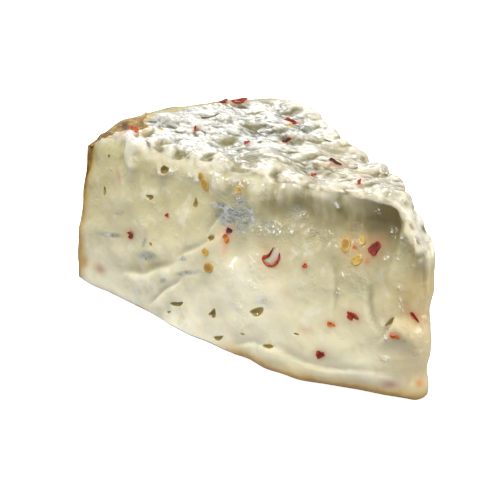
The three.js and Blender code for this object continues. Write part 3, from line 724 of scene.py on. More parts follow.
STAINS_AND_PAINTED_LIGHT = {
    "front": [
        (134, 47.5, 1, 2.6, 32, 0.75, "#c08a66"), (141.5, 8.5, 2.6, 2, 0, 0.8, "#b18470"),
        (15, 4.5, 2.2, 1.5, 10, 0.75, "#a97c80"), (6.5, 6, 1.3, 1.5, 0, 0.7, "#d9923a"),
        (149.5, 8.5, 2.4, 3.4, 0, 0.9, "#c39a48"), (24.5, 41.5, 0.9, 0.9, 0, 0.8, "#c4602c"),
        (9, 31, 2.6, 6, 0, 0.25, "#c8a464"), (41, 17, 2.2, 1.2, 0, 0.5, "#cf9a72"),
        (97, 5.5, 2, 1, 20, 0.35, "#c9a878"), (50, 27, 1.5, 1.2, 0, 0.3, "#d8a890"),
        # The pale patch at 107 along, 54 up is painted light over the shade under the lobes. The olive patch
        # at 147 along and the pale one at 68 along only darken and lighten the paste there.
        (147, 42, 11, 26, 0, 0.4, "#bfb176"), (107, 54, 9, 4.5, 0, 0.4, "#dad1b4"),
        (68, 22, 24, 15, -8, 0.4, "#f6f1e2"), (78.5, 34, 1.8, 2.8, 0, 0.55, "#d9a070"),
        (81.5, 38.6, 1.8, 0.9, 20, 0.6, "#c98848"), (62.2, 38.3, 2.6, 1.6, 0, 0.5, "#a89a60"),
    ],
    "top": [
        (-132, -37.5, 4.6, 2.4, 30, 0.9, "#dcc2a8"), (-50, 3, 4, 2, 20, 0.5, "#b08a6c"),
        # The olive patch at -110, -28.5 is painted shade in the hollow beside the torn flap.
        (-38, -9.5, 16, 2.6, 17, 0.35, "#c4bb98"), (-110, -28.5, 5, 3.2, 0, 0.5, "#a59c70"),
        (-79, -11.5, 8, 4, 20, 0.35, "#b2b1a2"), (-72, 11, 7, 4, -15, 0.35, "#f2ecda"),
        (-62, 18.5, 4, 2.6, -17, 0.55, "#a3955f"), (-52, 8, 6, 1.8, -12, 0.45, "#a9966a"),
    ],
    "back": [
        (52, 20, 2.4, 1.8, 20, 0.7, "#c08a66"), (118, 12, 2.2, 2.6, 0, 0.7, "#bb8a80"),
        (84, 50, 1.6, 1.2, 0, 0.7, "#c4602c"),
    ],
}

mould, torn, sparkle = gather(MOULD), gather(TORN), gather(SPARKLES)
white_top = patch("top", (-124, -20), (27, 16), 8)
print("mould on", int((mould > 0.3).sum()), "vertices, torn spots on", int((torn > 0.3).sum()))

# %% [markdown]
# A few forms happen once: the front's top edge is undercut near the point, the point hangs over like a
# cap, its foot is drawn in, and the corner by the shoulder is worn round. They move the skin, and the
# hollows among them, with the dents and the folds' grooves, are kept as masks, because the paste is
# painted darker in them: painted shade.

# %% Shape what happens once
NOSE_FULLER, NOSE_FULLER_AT, FOOT_BACK = 1.7, 14.0, 2.0
CORNER_WORN, CORNER_WIDE = 2.4, 4.0
UNDERCUT, UNDERCUT_AT, UNDERCUT_HALF = 1.4, 55.5, 4.0
CAP_LINE, CAP_DEPTH = 41.0, 1.8  # the paste above up = along + this hangs over like a cap
# The dents of the top are tinted olive as painted shade; a dent this deep gets the whole tint.
DEEP = 1.8  # a dent this deep has the full olive tint

lift, dent, creased = 0 * z, 0 * z, 0 * z
for where, at, half, turned, height in each(SHAPES):
    here = patch(where, at, half, turned)
    lift += height * here
    if where == "top" and height < 0:
        dent = np.maximum(dent, np.minimum(1, 1.6 * here) * min(1, -height / DEEP))
# The grooves of the folds are kept as `creased`, where the paste is painted darker as painted shade.
for name, face in FACES.items():
    for fold in face.folds:
        groove, wide = fold[2], fold[-1]
        side, taper = fold_place(fold, *places[name])
        shade = bell(np.minimum(side, 0) / (0.35 * wide)) * (1 - smooth(0, 0.15 * wide, side))
        creased = np.maximum(creased, taper * shade * min(groove / 1.6, 1) * on_wall[name])

off_tip = on_wall["front"] * smooth(15, 17, along_front)
undercut = bell((z - UNDERCUT_AT) / UNDERCUT_HALF) * off_tip * (1 - smooth(24, 46, along_front))
edge *= 1 - 0.75 * undercut
# `recess` marks the hollow under the top edge and under the cap, where the paste gets painted shade.
recess = bell(np.maximum(0, 54 - z) / 14) * (1 - smooth(61.0, 62.0, z)) * off_tip
recess *= (1 - 0.3 * smooth(24, 38, along_front)) * (1 - smooth(55, 95, along_front))
below_cap = along_front + CAP_LINE - z
under_cap = smooth(-0.5, 1.5, below_cap) * bell(below_cap / 13) * (1 - smooth(15.5, 17, along_front))
under_cap *= smooth(0.0, 0.4, n @ front.out) * (1 - on_top)
recess = np.maximum(recess, 0.65 * under_cap)
lift -= UNDERCUT * undercut + CAP_DEPTH * under_cap
skin_points += plain_normals * lift[:, None]

at_nose = bell((POINT_END - x) / NOSE_DEPTH) * (1 - smooth(28, 34, z))
at_corner = bell(np.hypot(heel_distance, p @ front.out) / CORNER_WIDE) * smooth(48, 62, z)
at_crescent = shown * bell((turn + 1) / 0.3) * (1 - smooth(10, 24, heel_distance))
skin_points[:, 0] += at_nose * (NOSE_FULLER * bell((z - NOSE_FULLER_AT) / 5) - FOOT_BACK * bell(z / 5))
skin_points[:, 2] -= CRESCENT_DROP * at_crescent + CORNER_WORN * at_corner
print("moved, mm:", lift.min().round(2), "to", lift.max().round(2))

# %% [markdown]
# ## The chilli, listed
#
# Flakes and seeds come early because their colour bleeds into the paste around them. Each has a place,
# a length, a width and a turn. The sizes are real ones: a chilli seed is 3 to 5 mm across. A flake also
# has a tone, from 0 (dark red) to 1 (orange).

# %% List the chilli
STREWN_FLAKE_SHARE, STREWN_SEED_SHARE = 0.5, 0.6  # those on the top lie half buried
STREWN_TONE, BACK_TONE = 0.3, 0.4
FLAKES = {
    "front": [
        (23.5, 45.5, 5.2, 3.6, 60, 0.2), (127.5, 27, 4.2, 2.4, 22, 0.15), (78.2, 40.2, 2.8, 1.9, 10, 0),
        (79, 37.4, 3.2, 2.4, 80, 1), (26.5, 24.5, 4.4, 2.4, -12, 0.35), (35, 10.5, 3.6, 2.2, 30, 0.25),
        (7.4, 28, 4, 1.1, -50, 0.35), (44.5, 36.5, 1.6, 1.5, 0, 0.5), (108.5, 38.5, 1.6, 1.5, 0, 0.35),
        (33, 20.5, 2.6, 1.5, 0, 0.95), (13.5, 21.5, 3, 1.5, 0, 0.85), (29.2, 45, 1.2, 1, 0, 1),
    ],
    "top": [
        (-107.5, 18.7, 4.6, 3.4, 50, 0.25), (-93, 7.7, 3, 1.5, 55, 0), (-54.5, 1, 4.8, 1.1, 20, 0),
        (-129.5, -33.2, 4.2, 2.2, 10, 0.7), (-146, 20.5, 7, 2.6, 82, 0.3), (-147, 14, 3.6, 1.8, 84, 0.1),
        *((*row[:2], STREWN_FLAKE_SHARE * row[2], STREWN_FLAKE_SHARE * row[3], row[4], STREWN_TONE)
          for row in top_flakes),
    ],
    "back": [
        *((*row, BACK_TONE) for row in back_flakes),
    ],
}
SEEDS = {
    "front": [
        (90.5, 53, 4.6, 3.4, 110), (92.5, 55.5, 3, 2.4, 100), (86.5, 31.5, 2.9, 2.8, 0),
        (84.5, 26.5, 4.8, 3.6, 10), (32, 45, 4.6, 3.4, 100), (27.5, 47, 3.4, 1.8, 115),
        (27.5, 41.5, 4, 3.2, 30), (75.5, 54.5, 2.4, 1.8, 90),
    ],
    "top": [
        (*row[:2], STREWN_SEED_SHARE * row[2], STREWN_SEED_SHARE * row[3], row[4]) for row in top_seeds
    ],
    "back": back_seeds,
}
flakes, seeds = list(each(FLAKES)), list(each(SEEDS))

CURL_AT = (58.5, 35)
FLAKE_BLEED, SEED_BLEED, BLEED_REACH = "#d08a5c", "#d9b878", 0.8
stains_and_painted_light = [*each(STAINS_AND_PAINTED_LIGHT), ("front", CURL_AT, (4.6, 4.6), 0, 0.35, FLAKE_BLEED)]
for things, strength, colour in ((flakes, 0.55, FLAKE_BLEED), (seeds, 0.6, SEED_BLEED)):
    for where, at, (long, wide), turned, *_ in things:
        stains_and_painted_light.append((where, at, (long / 2 + BLEED_REACH, wide / 2 + BLEED_REACH), turned, strength, colour))

weight, blended, clear = 0 * z, np.zeros((len(p), 3)), 1 + 0 * z
for *row, strength, colour in stains_and_painted_light:
    share = strength * patch(*row)
    weight += share
    blended += np.outer(share, hex_colour(colour)[:3])
    clear *= 1 - share
stain = np.column_stack([blended / np.maximum(weight, 1e-6)[:, None], 1 - clear])
print(len(flakes), "flakes,", len(seeds), "seeds,", len(stains_and_painted_light), "stains_and_painted_light")

# %% [markdown]
# ## The skin as a mesh
#
# The arrays become a mesh in one step, and the masks go in as attributes of its vertices.

# %% Make the body's mesh
KINDS = {1: ("FLOAT", "value"), 3: ("FLOAT_VECTOR", "vector"), 4: ("FLOAT_COLOR", "color")}


def new_object(name, points, faces):
    """An object at the origin. Points are millimetres in the frame."""
    mesh = bpy.data.meshes.new(name)
    mesh.from_pydata((np.asarray(points) * MM).tolist(), [], faces)
    mesh.validate()
    made = bpy.data.objects.new(name, mesh)
    scene.collection.objects.link(made)
    return made


def store(obj, **values):
    """Stores arrays as vertex attributes: one, three or four numbers for each vertex."""
    for name, array in values.items():
        kind, field = KINDS[array.shape[1] if array.ndim == 2 else 1]
        made = obj.data.attributes.new(name, kind, "POINT")
        made.data.foreach_set(field, np.ascontiguousarray(array, np.float32).ravel())


def read(obj, name):
    """A stored value for each vertex, or a row of them."""
    layer = obj.data.attributes[name]
    wide, field = next((wide, field) for wide, (kind, field) in KINDS.items() if kind == layer.data_type)
    values = np.empty(wide * len(layer.data), np.float32)
    layer.data.foreach_get(field, values)
    return values.reshape(-1, wide) if wide > 1 else values


smears = on_top * smooth(3, 10, inside) * smooth(3, 11, heel_distance) * (1 - 0.8 * dent)
grey_top = on_top * smooth(2, 11, inside) * mix(1, 0.25, smooth(-105, -60, x)) * (1 - 0.8 * white_top)
# `near_point` marks the point's face, which the paste tints warm and light: a painted glow of light through
# the point.
near_point = bell((POINT_END - x) / 9) * (1 - on_top) * (1 - smooth(36, 46, z))
MASKS = dict(
    on_top=on_top, on_wall=on_wall["front"] + on_wall["back"], on_heel=on_heel, edge=edge, lip=lip, rim=rim,
    smears=smears * (1 - rim), grey_top=grey_top, white_top=white_top, mould=mould, torn=torn, recess=recess,
    near_point=near_point, creased=creased, dent=dent, sparkle=sparkle, rind_depth=rind_depth, stain=stain)
body = new_object("cheese_body", skin_points + SHIFT, skin_faces)
store(body, hole=0 * z, known=1 + 0 * z, **MASKS)
print("body:", len(body.data.polygons), "faces")

# %% [markdown]
# ## Small relief with Geometry Nodes
#
# Wet paste is never smooth: the wire leaves long drags, the torn top is a mass of smeared ridges, and
# the rind is pitted. All of it follows one rule, which is to move each point along its normal by noise
# of a certain size and height, where a mask says so. That is what Geometry Nodes are for: the sizes
# become named inputs, and each layer is one pass of a loop.

# %% Grow a tree with named inputs, and run it
def new_tree(name, sizes):
    """A Geometry Nodes tree with one input for the mesh and one for each named size."""
    tree = bpy.data.node_groups.new(name, "GeometryNodeTree")
    for way in ("OUTPUT", "INPUT"):
        tree.interface.new_socket("Geometry", in_out=way, socket_type="NodeSocketGeometry")
    for label, value in sizes.items():
        kind = "NodeSocketInt" if isinstance(value, int) else "NodeSocketFloat"
        tree.interface.new_socket(label, in_out="INPUT", socket_type=kind)
    return tree, tree.nodes.new("NodeGroupInput").outputs


def make_plain(obj):
    """Turns what the modifiers make into the object's own mesh."""
    graph = bpy.context.evaluated_depsgraph_get()
    graph.update()
    made = bpy.data.meshes.new_from_object(
        obj.evaluated_get(graph), preserve_all_data_layers=True, depsgraph=graph)
    old, obj.data = obj.data, made
    obj.modifiers.clear()
    made.name = obj.name
    bpy.data.meshes.remove(old)


def run_tree(obj, tree, geometry, material, sizes):
    """Ends a tree, runs it with the sizes set by socket identifier, and keeps a plain mesh."""
    real = add(tree, "RealizeInstances", geometry)
    finished = add(tree, "SetMaterial", real, Material=material)
    feed(tree, tree.nodes.new("NodeGroupOutput"), finished)
    modifier = obj.modifiers.new(tree.name, "NODES")
    modifier.node_group = tree
    for item in tree.interface.items_tree:
        if item.in_out == "INPUT" and item.name in sizes:
            modifier[item.identifier] = sizes[item.name]
    make_plain(obj)


# %% [markdown]
# Each layer of relief has a mask, a size along and across its grain, a direction of grain, a height,
# and a shape. "soft" noise swings both ways. "crease" folds the noise over, which gives rounded lumps
# with sharp valleys between them, as smeared paste has. The edges are rounded first.

# %% Build and run the relief
UPRIGHT, SMEARED, ANY = "upright", "smeared", "any"
SOFT, CREASE = "soft", "crease"
SMEAR_TURN = math.radians(-15)  # the smears on the top run at this angle to the wedge's length
ANOTHER_PLACE = 3.7  # each layer looks at another part of the noise
RELIEF = [  # name, mask, grain, long mm, short mm, height mm, shape
    ("Paste ripple", "on_wall", ANY, 7, 7, 0.42, SOFT),
    ("Paste wrinkle", "on_wall", ANY, 3.2, 3.2, 0.18, SOFT),
    ("Wire drag", "recess", UPRIGHT, 20, 4.5, 0.5, SOFT),
    ("Torn spot", "torn", ANY, 2.2, 1.6, 0.55, CREASE),
    ("Mould crinkle", "mould", ANY, 2.6, 1.8, 0.6, CREASE),
    ("Paste dent", "on_wall", ANY, 1.8, 1.6, 0.16, CREASE),
    ("Edge lump", "edge", SMEARED, 9, 4.2, 1.0, CREASE),
    ("Edge drip", "edge", UPRIGHT, 8, 2.6, 1.7, SOFT),
    ("Edge ripple", "edge", ANY, 2.6, 2.2, 0.22, SOFT),
    ("Long smear", "smears", SMEARED, 18, 6.0, 0.7, CREASE),
    ("Short smear", "smears", SMEARED, 6, 2.6, 0.6, CREASE),
    ("Fine smear", "smears", SMEARED, 3, 1.4, 0.5, CREASE),
    ("Rind wrinkle", "on_heel", ANY, 7, 4, 0.4, CREASE),
    ("Rind pit", "on_heel", ANY, 2.2, 2.2, 0.2, SOFT),
]
sizes = {"Edge rounding steps": 24}
for name, mask, grain_kind, *lengths, shape in RELIEF:
    sizes.update({f"{name} {side}": mm * MM for side, mm in zip(("length", "width", "height"), lengths)})

paste, paste_tree, paste_shader = new_material(
    "blue cheese paste, wet cut", Subsurface_Weight=1.0, Subsurface_Radius=(1.0, 0.72, 0.36),
    Subsurface_Scale=1.8 * MM, IOR=1.45, Coat_Roughness=0.07, Coat_IOR=1.4)  # its nodes come later
tree, given = new_tree("surface relief", sizes)
position = add(tree, "InputPosition")
at_edge = add(tree, "InputNamedAttribute", "edge", data_type="FLOAT")
rounded = add(tree, "BlurAttribute", position, given["Edge rounding steps"], at_edge,
              data_type="FLOAT_VECTOR")
geometry = add(tree, "SetPosition", given["Geometry"], Position=rounded)
total = None
for index, (name, mask, grain_kind, *_, shape) in enumerate(RELIEF):
    long, short = (add(tree, "Math", 1.0, given[f"{name} {side}"], operation="DIVIDE")
                   for side in ("length", "width"))
    long_axis = "Z" if grain_kind == UPRIGHT else "X"
    scale = add(tree, "CombineXYZ", *(long if axis == long_axis else short for axis in "XYZ"))
    grain_turn = SMEAR_TURN if grain_kind == SMEARED else 0.0
    turned = add(tree, "VectorRotate", position, Angle=grain_turn, rotation_type="Z_AXIS")
    scaled = add(tree, "VectorMath", turned, scale, operation="MULTIPLY")
    moved = add(tree, "VectorMath", scaled, (index * ANOTHER_PLACE,) * 3)
    noise = add(tree, "TexNoise", moved, 0.5, 1.5, 0.45)
    swing = add(tree, "Math", noise, 2.0, -1.0, operation="MULTIPLY_ADD")
    if shape == CREASE:
        folded = add(tree, "Math", swing, operation="ABSOLUTE")
        swing = add(tree, "Math", folded, 2.2, -0.6, operation="MULTIPLY_ADD")
    here = add(tree, "InputNamedAttribute", mask, data_type="FLOAT")
    layer = product(tree, swing, here, given[f"{name} height"])
    total = layer if total is None else add(tree, "Math", total, layer)

above = add(tree, "SeparateXYZ", position).outputs["Z"]
offset = add(tree, "VectorMath", add(tree, "InputNormal"),
             Scale=product(tree, total, (above, 0.3 * MM, 4 * MM)), operation="SCALE")
geometry = add(tree, "SetPosition", geometry, Offset=offset)
run_tree(body, tree, geometry, paste, sizes)
print("relief: box, mm", [round(v / MM, 1) for v in body.dimensions])

# %% [markdown]
# ## Holes
#
# Gas left small holes, and the cut opened them. Each is cut by a lumpy ellipsoid. Dents in the mesh
# would be simpler, but a real hole has a crisp rim and walls that go in under it, and only a Boolean
# gives that. The cutters carry the same attributes as the body, with `hole` at 1, so the walls of a
# hole know what they are.

# %% Find places on the skin
def spot(where, a, b):
    """Points on the slumped skin, in the frame, for places (a, b) on a face."""
    a, b = np.asarray(a, float), np.asarray(b, float)
    if where == "top":
        points = np.stack([a, b, top_height(a, b)], axis=1)
        normals = np.tile([0.0, 0.0, 1.0], (len(a), 1))
    else:
        face = FACES[where]
        angle = face.side * (FACING - (POINT_START - a) / POINT_RADIUS)
        rounded = np.stack([np.cos(angle), np.sin(angle), 0 * a], axis=1)
        straight_on = (a >= POINT_START)[:, None]
        normals = np.where(straight_on, face.out, rounded)
        tip = rounded * POINT_RADIUS + [POINT_CENTRE, 0, 0]
        points = np.where(straight_on, np.outer(a, face.along), tip)
        points[:, 2] = b
    return deform(points, normals) + SHIFT


def frame_on(where, at):
    """Place and axes (right, up, out) of a spot on the skin, in millimetres."""
    step = 0.5  # mm to each side
    origin, aside, above = spot(where, [at[0], at[0] + step, at[0]], [at[1], at[1], at[1] + step])
    first = Vector(aside - origin).normalized() * (-1 if where == "front" else 1)
    out = first.cross(Vector(above - origin)).normalized()
    return Vector(origin), Matrix((first, out.cross(first), out)).transposed()


# %% Make the cutters
HOLES = {
    "front": [
        (110, 56.5, 3.6, 3.4, 0), (60.5, 18, 6.2, 2.6, 25), (81.5, 11, 4.6, 2.6, 40), (100, 9, 6.5, 2, 22),
        (85.5, 36, 4.2, 2, 20), (95, 45.5, 3.4, 2.4, 70), (117.5, 43, 4, 2, 5), (141, 39.5, 3.4, 2, 100),
        (15, 25, 5, 1.2, 48), (78, 3.6, 5, 1.6, 20), (54.5, 8.2, 5, 1.5, 15), (78, 50.3, 2.2, 0.9, 10),
        (140, 53, 1.5, 1.3, 0), (124, 59, 2.4, 1.2, 30), (115, 27, 1.8, 1.2, 0), (104, 5, 2, 1, 20),
        (66, 9, 2.2, 0.8, 10), (44, 15, 2.4, 0.8, 5),
    ],
    "top": [
        (-130.5, -1.5, 8, 2.4, 59), (-55, 7.3, 3.4, 2.6, 30), (-81, 17.5, 6, 1.6, 15),
    ],
    "back": back_hollows,
}
# The walls of the holes on the top are painted nearly black as painted shade; the front and back holes get
# none.
HOLE_PAINTED_SHADE = hex_colour("#2e2a14")[:3]
PAINTED_SHADE_INSIDE = {"top": 0.85}  # the holes of the top are deep and dark
LUMPY, BENT = 0.16, 0.22
INNER_DEPTH = 20.0  # a hole's walls count as far from the rind, in mm
holes = list(each(HOLES))
ball = bpy.data.meshes.new("ball")
shape = bmesh.new()
bmesh.ops.create_icosphere(shape, subdivisions=3, radius=1)
shape.to_mesh(ball)
ball_points = np.array([v.co for v in ball.vertices])
cutter_points, cutter_faces, cutter_painted_shade = [], [], []
for index, (where, at, (long, short), turned) in enumerate(holes):
    origin, axes = frame_on(where, at)
    axes = axes @ Matrix.Rotation(math.radians(turned), 3, "Z")
    lumpy = ball_points * (1 + LUMPY * waves(ball_points + index * 5.1, 1.7, 7, 0.6))[:, None]
    local = lumpy * [long / 2, short / 2, short / 2]
    local[:, 1] += BENT * short * (local[:, 0] / (long / 2)) ** 2
    cutter_points.append(local @ np.array(axes).T + np.array(origin))
    cutter_faces += [[v + index * len(ball_points) for v in f.vertices] for f in ball.polygons]
    cutter_painted_shade += [(*HOLE_PAINTED_SHADE, PAINTED_SHADE_INSIDE.get(where, 0.0))] * len(ball_points)
cutters = new_object("cutters", np.vstack(cutter_points), cutter_faces)
some = np.ones(len(cutter_painted_shade))
store(cutters, hole=some, known=some, **{
    **{name: 0 * some for name in MASKS}, "rind_depth": INNER_DEPTH * some, "stain": np.array(cutter_painted_shade)})
print("holes:", len(holes))

# %% [markdown]
# The skin is cut finer round each hole first. The points where the cutters met the skin are new and
# know nothing, so the nearest old ones tell them. A point with only two edges is dissolved, or the two
# faces there would fold flat on each other.

# %% Cut the holes
REFINE_BY, REFINE_PAST = 2, 1.1  # cuts of each edge, and how far past a hole's rim, in mm
centres = np.empty(3 * len(body.data.polygons), np.float32)
body.data.polygons.foreach_get("center", centres)
centres = centres.reshape(-1, 3) / MM
fine = np.zeros(len(centres), bool)
for inner in cutter_points:
    far = np.ptp(inner, axis=0).max() / 2 + REFINE_PAST
    close = np.flatnonzero(np.linalg.norm(centres - inner.mean(axis=0), axis=1) < far)
    gaps = np.linalg.norm(centres[close, None] - inner[None, ::4], axis=2).min(axis=1)
    fine[close[gaps < REFINE_PAST]] = True
shape = bmesh.new()
shape.from_mesh(body.data)
shape.faces.ensure_lookup_table()
edges = {e for index in np.flatnonzero(fine) for e in shape.faces[index].edges}
bmesh.ops.subdivide_edges(shape, edges=list(edges), cuts=REFINE_BY, use_grid_fill=True)
shape.to_mesh(body.data)

before = {name: read(body, name) for name in MASKS}
finder = KDTree(len(body.data.vertices))
for index, point in enumerate(read(body, "position")):
    finder.insert(point, index)
finder.balance()
cut = body.modifiers.new("holes", "BOOLEAN")
cut.operation, cut.object, cut.solver = "DIFFERENCE", cutters, "MANIFOLD"
make_plain(body)
bpy.data.objects.remove(cutters)
shape = bmesh.new()
shape.from_mesh(body.data)
bmesh.ops.dissolve_verts(shape, verts=[v for v in shape.verts if len(v.link_edges) == 2])
shape.to_mesh(body.data)

fresh = np.flatnonzero(read(body, "known") < 0.5)
nearest = [finder.find(point)[1] for point in read(body, "position")[fresh]]
for name, values in before.items():
    told = read(body, name)
    told[fresh] = values[nearest]
    body.data.attributes.remove(body.data.attributes[name])
    store(body, **{name: told})
print("refined", int(fine.sum()), "faces, and told", len(fresh), "points on the rims")

# %% [markdown]
# A wet rim is never knife sharp, so the points round each hole are blurred a little. The same tree then
# stores how deep each point lies below its surroundings, near and wide, so that the paste can be painted
# darker in the hollows and lighter on the ridges: painted shade and painted highlight.

# %% Soften the rims and measure the hollows
steps = {"Rim steps": 4, "Near steps": 8, "Wide steps": 90}
tree, given = new_tree("soft rims", steps)
position = add(tree, "InputPosition")
normal = add(tree, "InputNormal")
in_hole = add(tree, "InputNamedAttribute", "hole", data_type="FLOAT")
near_hole = add(tree, "BlurAttribute", in_hole, 2, data_type="FLOAT")
around_hole = add(tree, "BlurAttribute", in_hole, given["Wide steps"], data_type="FLOAT")
softer = add(tree, "BlurAttribute", position, given["Rim steps"], near_hole, data_type="FLOAT_VECTOR")
geometry = add(tree, "SetPosition", given["Geometry"], Position=softer)
measures = {"hole_near": near_hole, "hole_around": around_hole}
for label, label_steps in (("hollow_near", "Near steps"), ("hollow_wide", "Wide steps")):
    blurred = add(tree, "BlurAttribute", position, given[label_steps], data_type="FLOAT_VECTOR")
    gap = add(tree, "VectorMath", blurred, position, operation="SUBTRACT")
    measures[label] = product(tree, add(tree, "VectorMath", gap, normal, operation="DOT_PRODUCT"), 1 / MM)
for label, value in measures.items():
    geometry = add(tree, "StoreNamedAttribute", geometry, Name=label, Value=value, data_type="FLOAT",
                   domain="POINT")
run_tree(body, tree, geometry, paste, steps)
for name in ("hollow_near", "hollow_wide"):
    print(name, "mm, 5 % and 95 %:", np.percentile(read(body, name), (5, 95)).round(2))

# %% [markdown]
# ## Finish: wet cut paste
#
# The material is the paste of a soft blue cheese: milk fat and protein with water, so light enters it,
# scatters and comes out warm, and a film of whey makes it shine. That gives a low base roughness under a
# smooth coat. Patterns come from noise, each at the real size of what it stands for.

# %% Draw the patterns of the paste
def per(millimetres):
    """Scale of a pattern whose features are this far apart."""
    return 1 / (millimetres * MM)


tree, shader = paste_tree, paste_shader
names = ("on_top", "grey_top", "white_top", "rim", "rind_depth", "mould", "torn", "recess", "near_point",
         "edge", "creased", "dent", "sparkle", "hollow_near", "hollow_wide", "hole_near", "hole_around")
here = SimpleNamespace(**dict(zip(names, facts(tree, *names))))
# This attribute holds the chilli's colour run into the paste, patches of painted light and shade, and painted
# shade inside the holes of the top.
bled_and_painted_light = add(tree, "Attribute", attribute_name="stain").outputs
place = add(tree, "TexCoord").outputs["Object"]
axes = add(tree, "SeparateXYZ", place).outputs

broad = add(tree, "TexNoise", place, per(32), 2.0)
cloudy = add(tree, "TexNoise", place, per(7), 3.0, 0.6)
grainy = add(tree, "TexNoise", place, per(1.6), 3.0, 0.6)
grit = add(tree, "TexNoise", place, per(1.3), 2.0, 0.6)

along_smears = add(tree, "Mapping", place, Rotation=(0, 0, SMEAR_TURN), Scale=(0.22, 1, 1))
smeary = add(tree, "TexNoise", along_smears, per(2.6), 4.0, 0.62)
swing = add(tree, "Math", smeary, 2.0, -1.0, operation="MULTIPLY_ADD")
smear_line = add(tree, "Math", swing, operation="ABSOLUTE")
# The creases of the smears get thin dark lines of painted shade.
smear_crease_shade = add(tree, "MapRange", smear_line, 0.0, 0.07, 1.0, 0.0)

# The hollow under the edge gets painted shade below a line that hangs down in drips, and near the point
# all over; away from the point, above that line, it is tinted paler.
downwards = add(tree, "Mapping", place, Scale=(1, 1, 0.25))
drips = add(tree, "TexNoise", downwards, per(5.5), 2.5, 0.5)
hang = add(tree, "Math", product(tree, (drips, 0.3, 0.7, -6 * MM, 6 * MM)), axes["Z"])
hung = add(tree, "MapRange", hang, 60 * MM, 52 * MM)
off_point = add(tree, "MapRange", axes["X"], 62 * MM, 46 * MM)
wet = add(tree, "Math", hung, product(tree, (off_point, 0, 1, 1, 0)), operation="MAXIMUM")

# Mould grows in patches, along veins.
level_place = add(tree, "Mapping", place, Scale=(1, 1, 2.2))
patchy = add(tree, "TexNoise", level_place, per(5), 4.0, 0.65)
crinkled = add(tree, "TexNoise", level_place, per(4.4), 2.5, 0.55, Distortion=0.5)
off_vein = add(tree, "Math", crinkled, 0.5, operation="SUBTRACT")
from_vein = add(tree, "Math", off_vein, operation="ABSOLUTE")
grown = product(tree, here.mould, (patchy, 0.38, 0.6, 0.3, 1.6))
print("patterns:", sum(node.type == "TEX_NOISE" for node in tree.nodes))

# %% [markdown]
# Colour goes on in layers: cream, lighter at the foot and darker towards the top as painted bounce light;
# painted olive shade in the hollows, dents, fold grooves and under the top edge, and painted highlight on
# the ridges; grey smears on the top, with painted shade in their creases; a painted glow at the point;
# blue-grey mould; the golden zone under the rind; the colour that has run from the chilli, with patches of
# painted light and shade and painted shade in the top's holes; and painted glints. A bump adds what is
# finer than the mesh: grain, smears and grit.

# %% Mix the paste
near = add(tree, "MapRange", here.hollow_near, -0.16, 0.2)
grey_share = product(tree, here.grey_top, (broad, 0.35, 0.6, 0.35, 1.0))
off_holes = add(tree, "MapRange", here.hole_around, 0.002, 0.03, 1, 0)
under = add(tree, "Math", product(tree, (cloudy, 0.3, 0.7, -0.8, 0.8)), here.rind_depth)  # mm under the rind
TONES = {  # value to read, and the colours along it
    # The body is lighter at the foot and darker towards the top: painted bounce light from below.
    "body": ((axes["Z"], 0, HEIGHT * MM),
             [(0.0, "#f4eed6"), (0.3, "#e6dfbf"), (0.55, "#d2c9a0"), (1.0, "#c2b986")]),
    # Cream, grey and white darken to olive and near black towards the hollows: painted shade.
    "cream": (near, [(0.0, "#dcd6c2"), (0.4, "#c4bca2"), (0.65, "#a09676"), (1.0, "#665e38")]),
    "grey": (near, [(0.0, "#b8bbb5"), (0.35, "#949990"), (0.6, "#6c7165"), (1.0, "#30322b")]),
    "white": (near, [(0.0, "#d2d2cb"), (0.5, "#b0b1a8"), (0.8, "#767869"), (1.0, "#3f4138")]),
    "rim": ((here.rind_depth, 1, 9), [(0.0, "#79603a"), (0.3, "#a0946e"), (1.0, "#b6af94")]),
    "vein": ((from_vein, 0.0, 0.2),
             [(0.0, "#565e60"), (0.12, "#7f888a"), (0.35, "#abb1b0"), (0.7, "#9fa192")]),
    "rind": ((under, 0, 6), [(0.0, "#a4762e"), (0.2, "#b98c3e"), (0.45, "#c3a760"), (1.0, "#cdc08e")]),
}
tone = SimpleNamespace(**{
    name: add(tree, "ValToRGB", product(tree, value), stops=stops) for name, (value, stops) in TONES.items()})
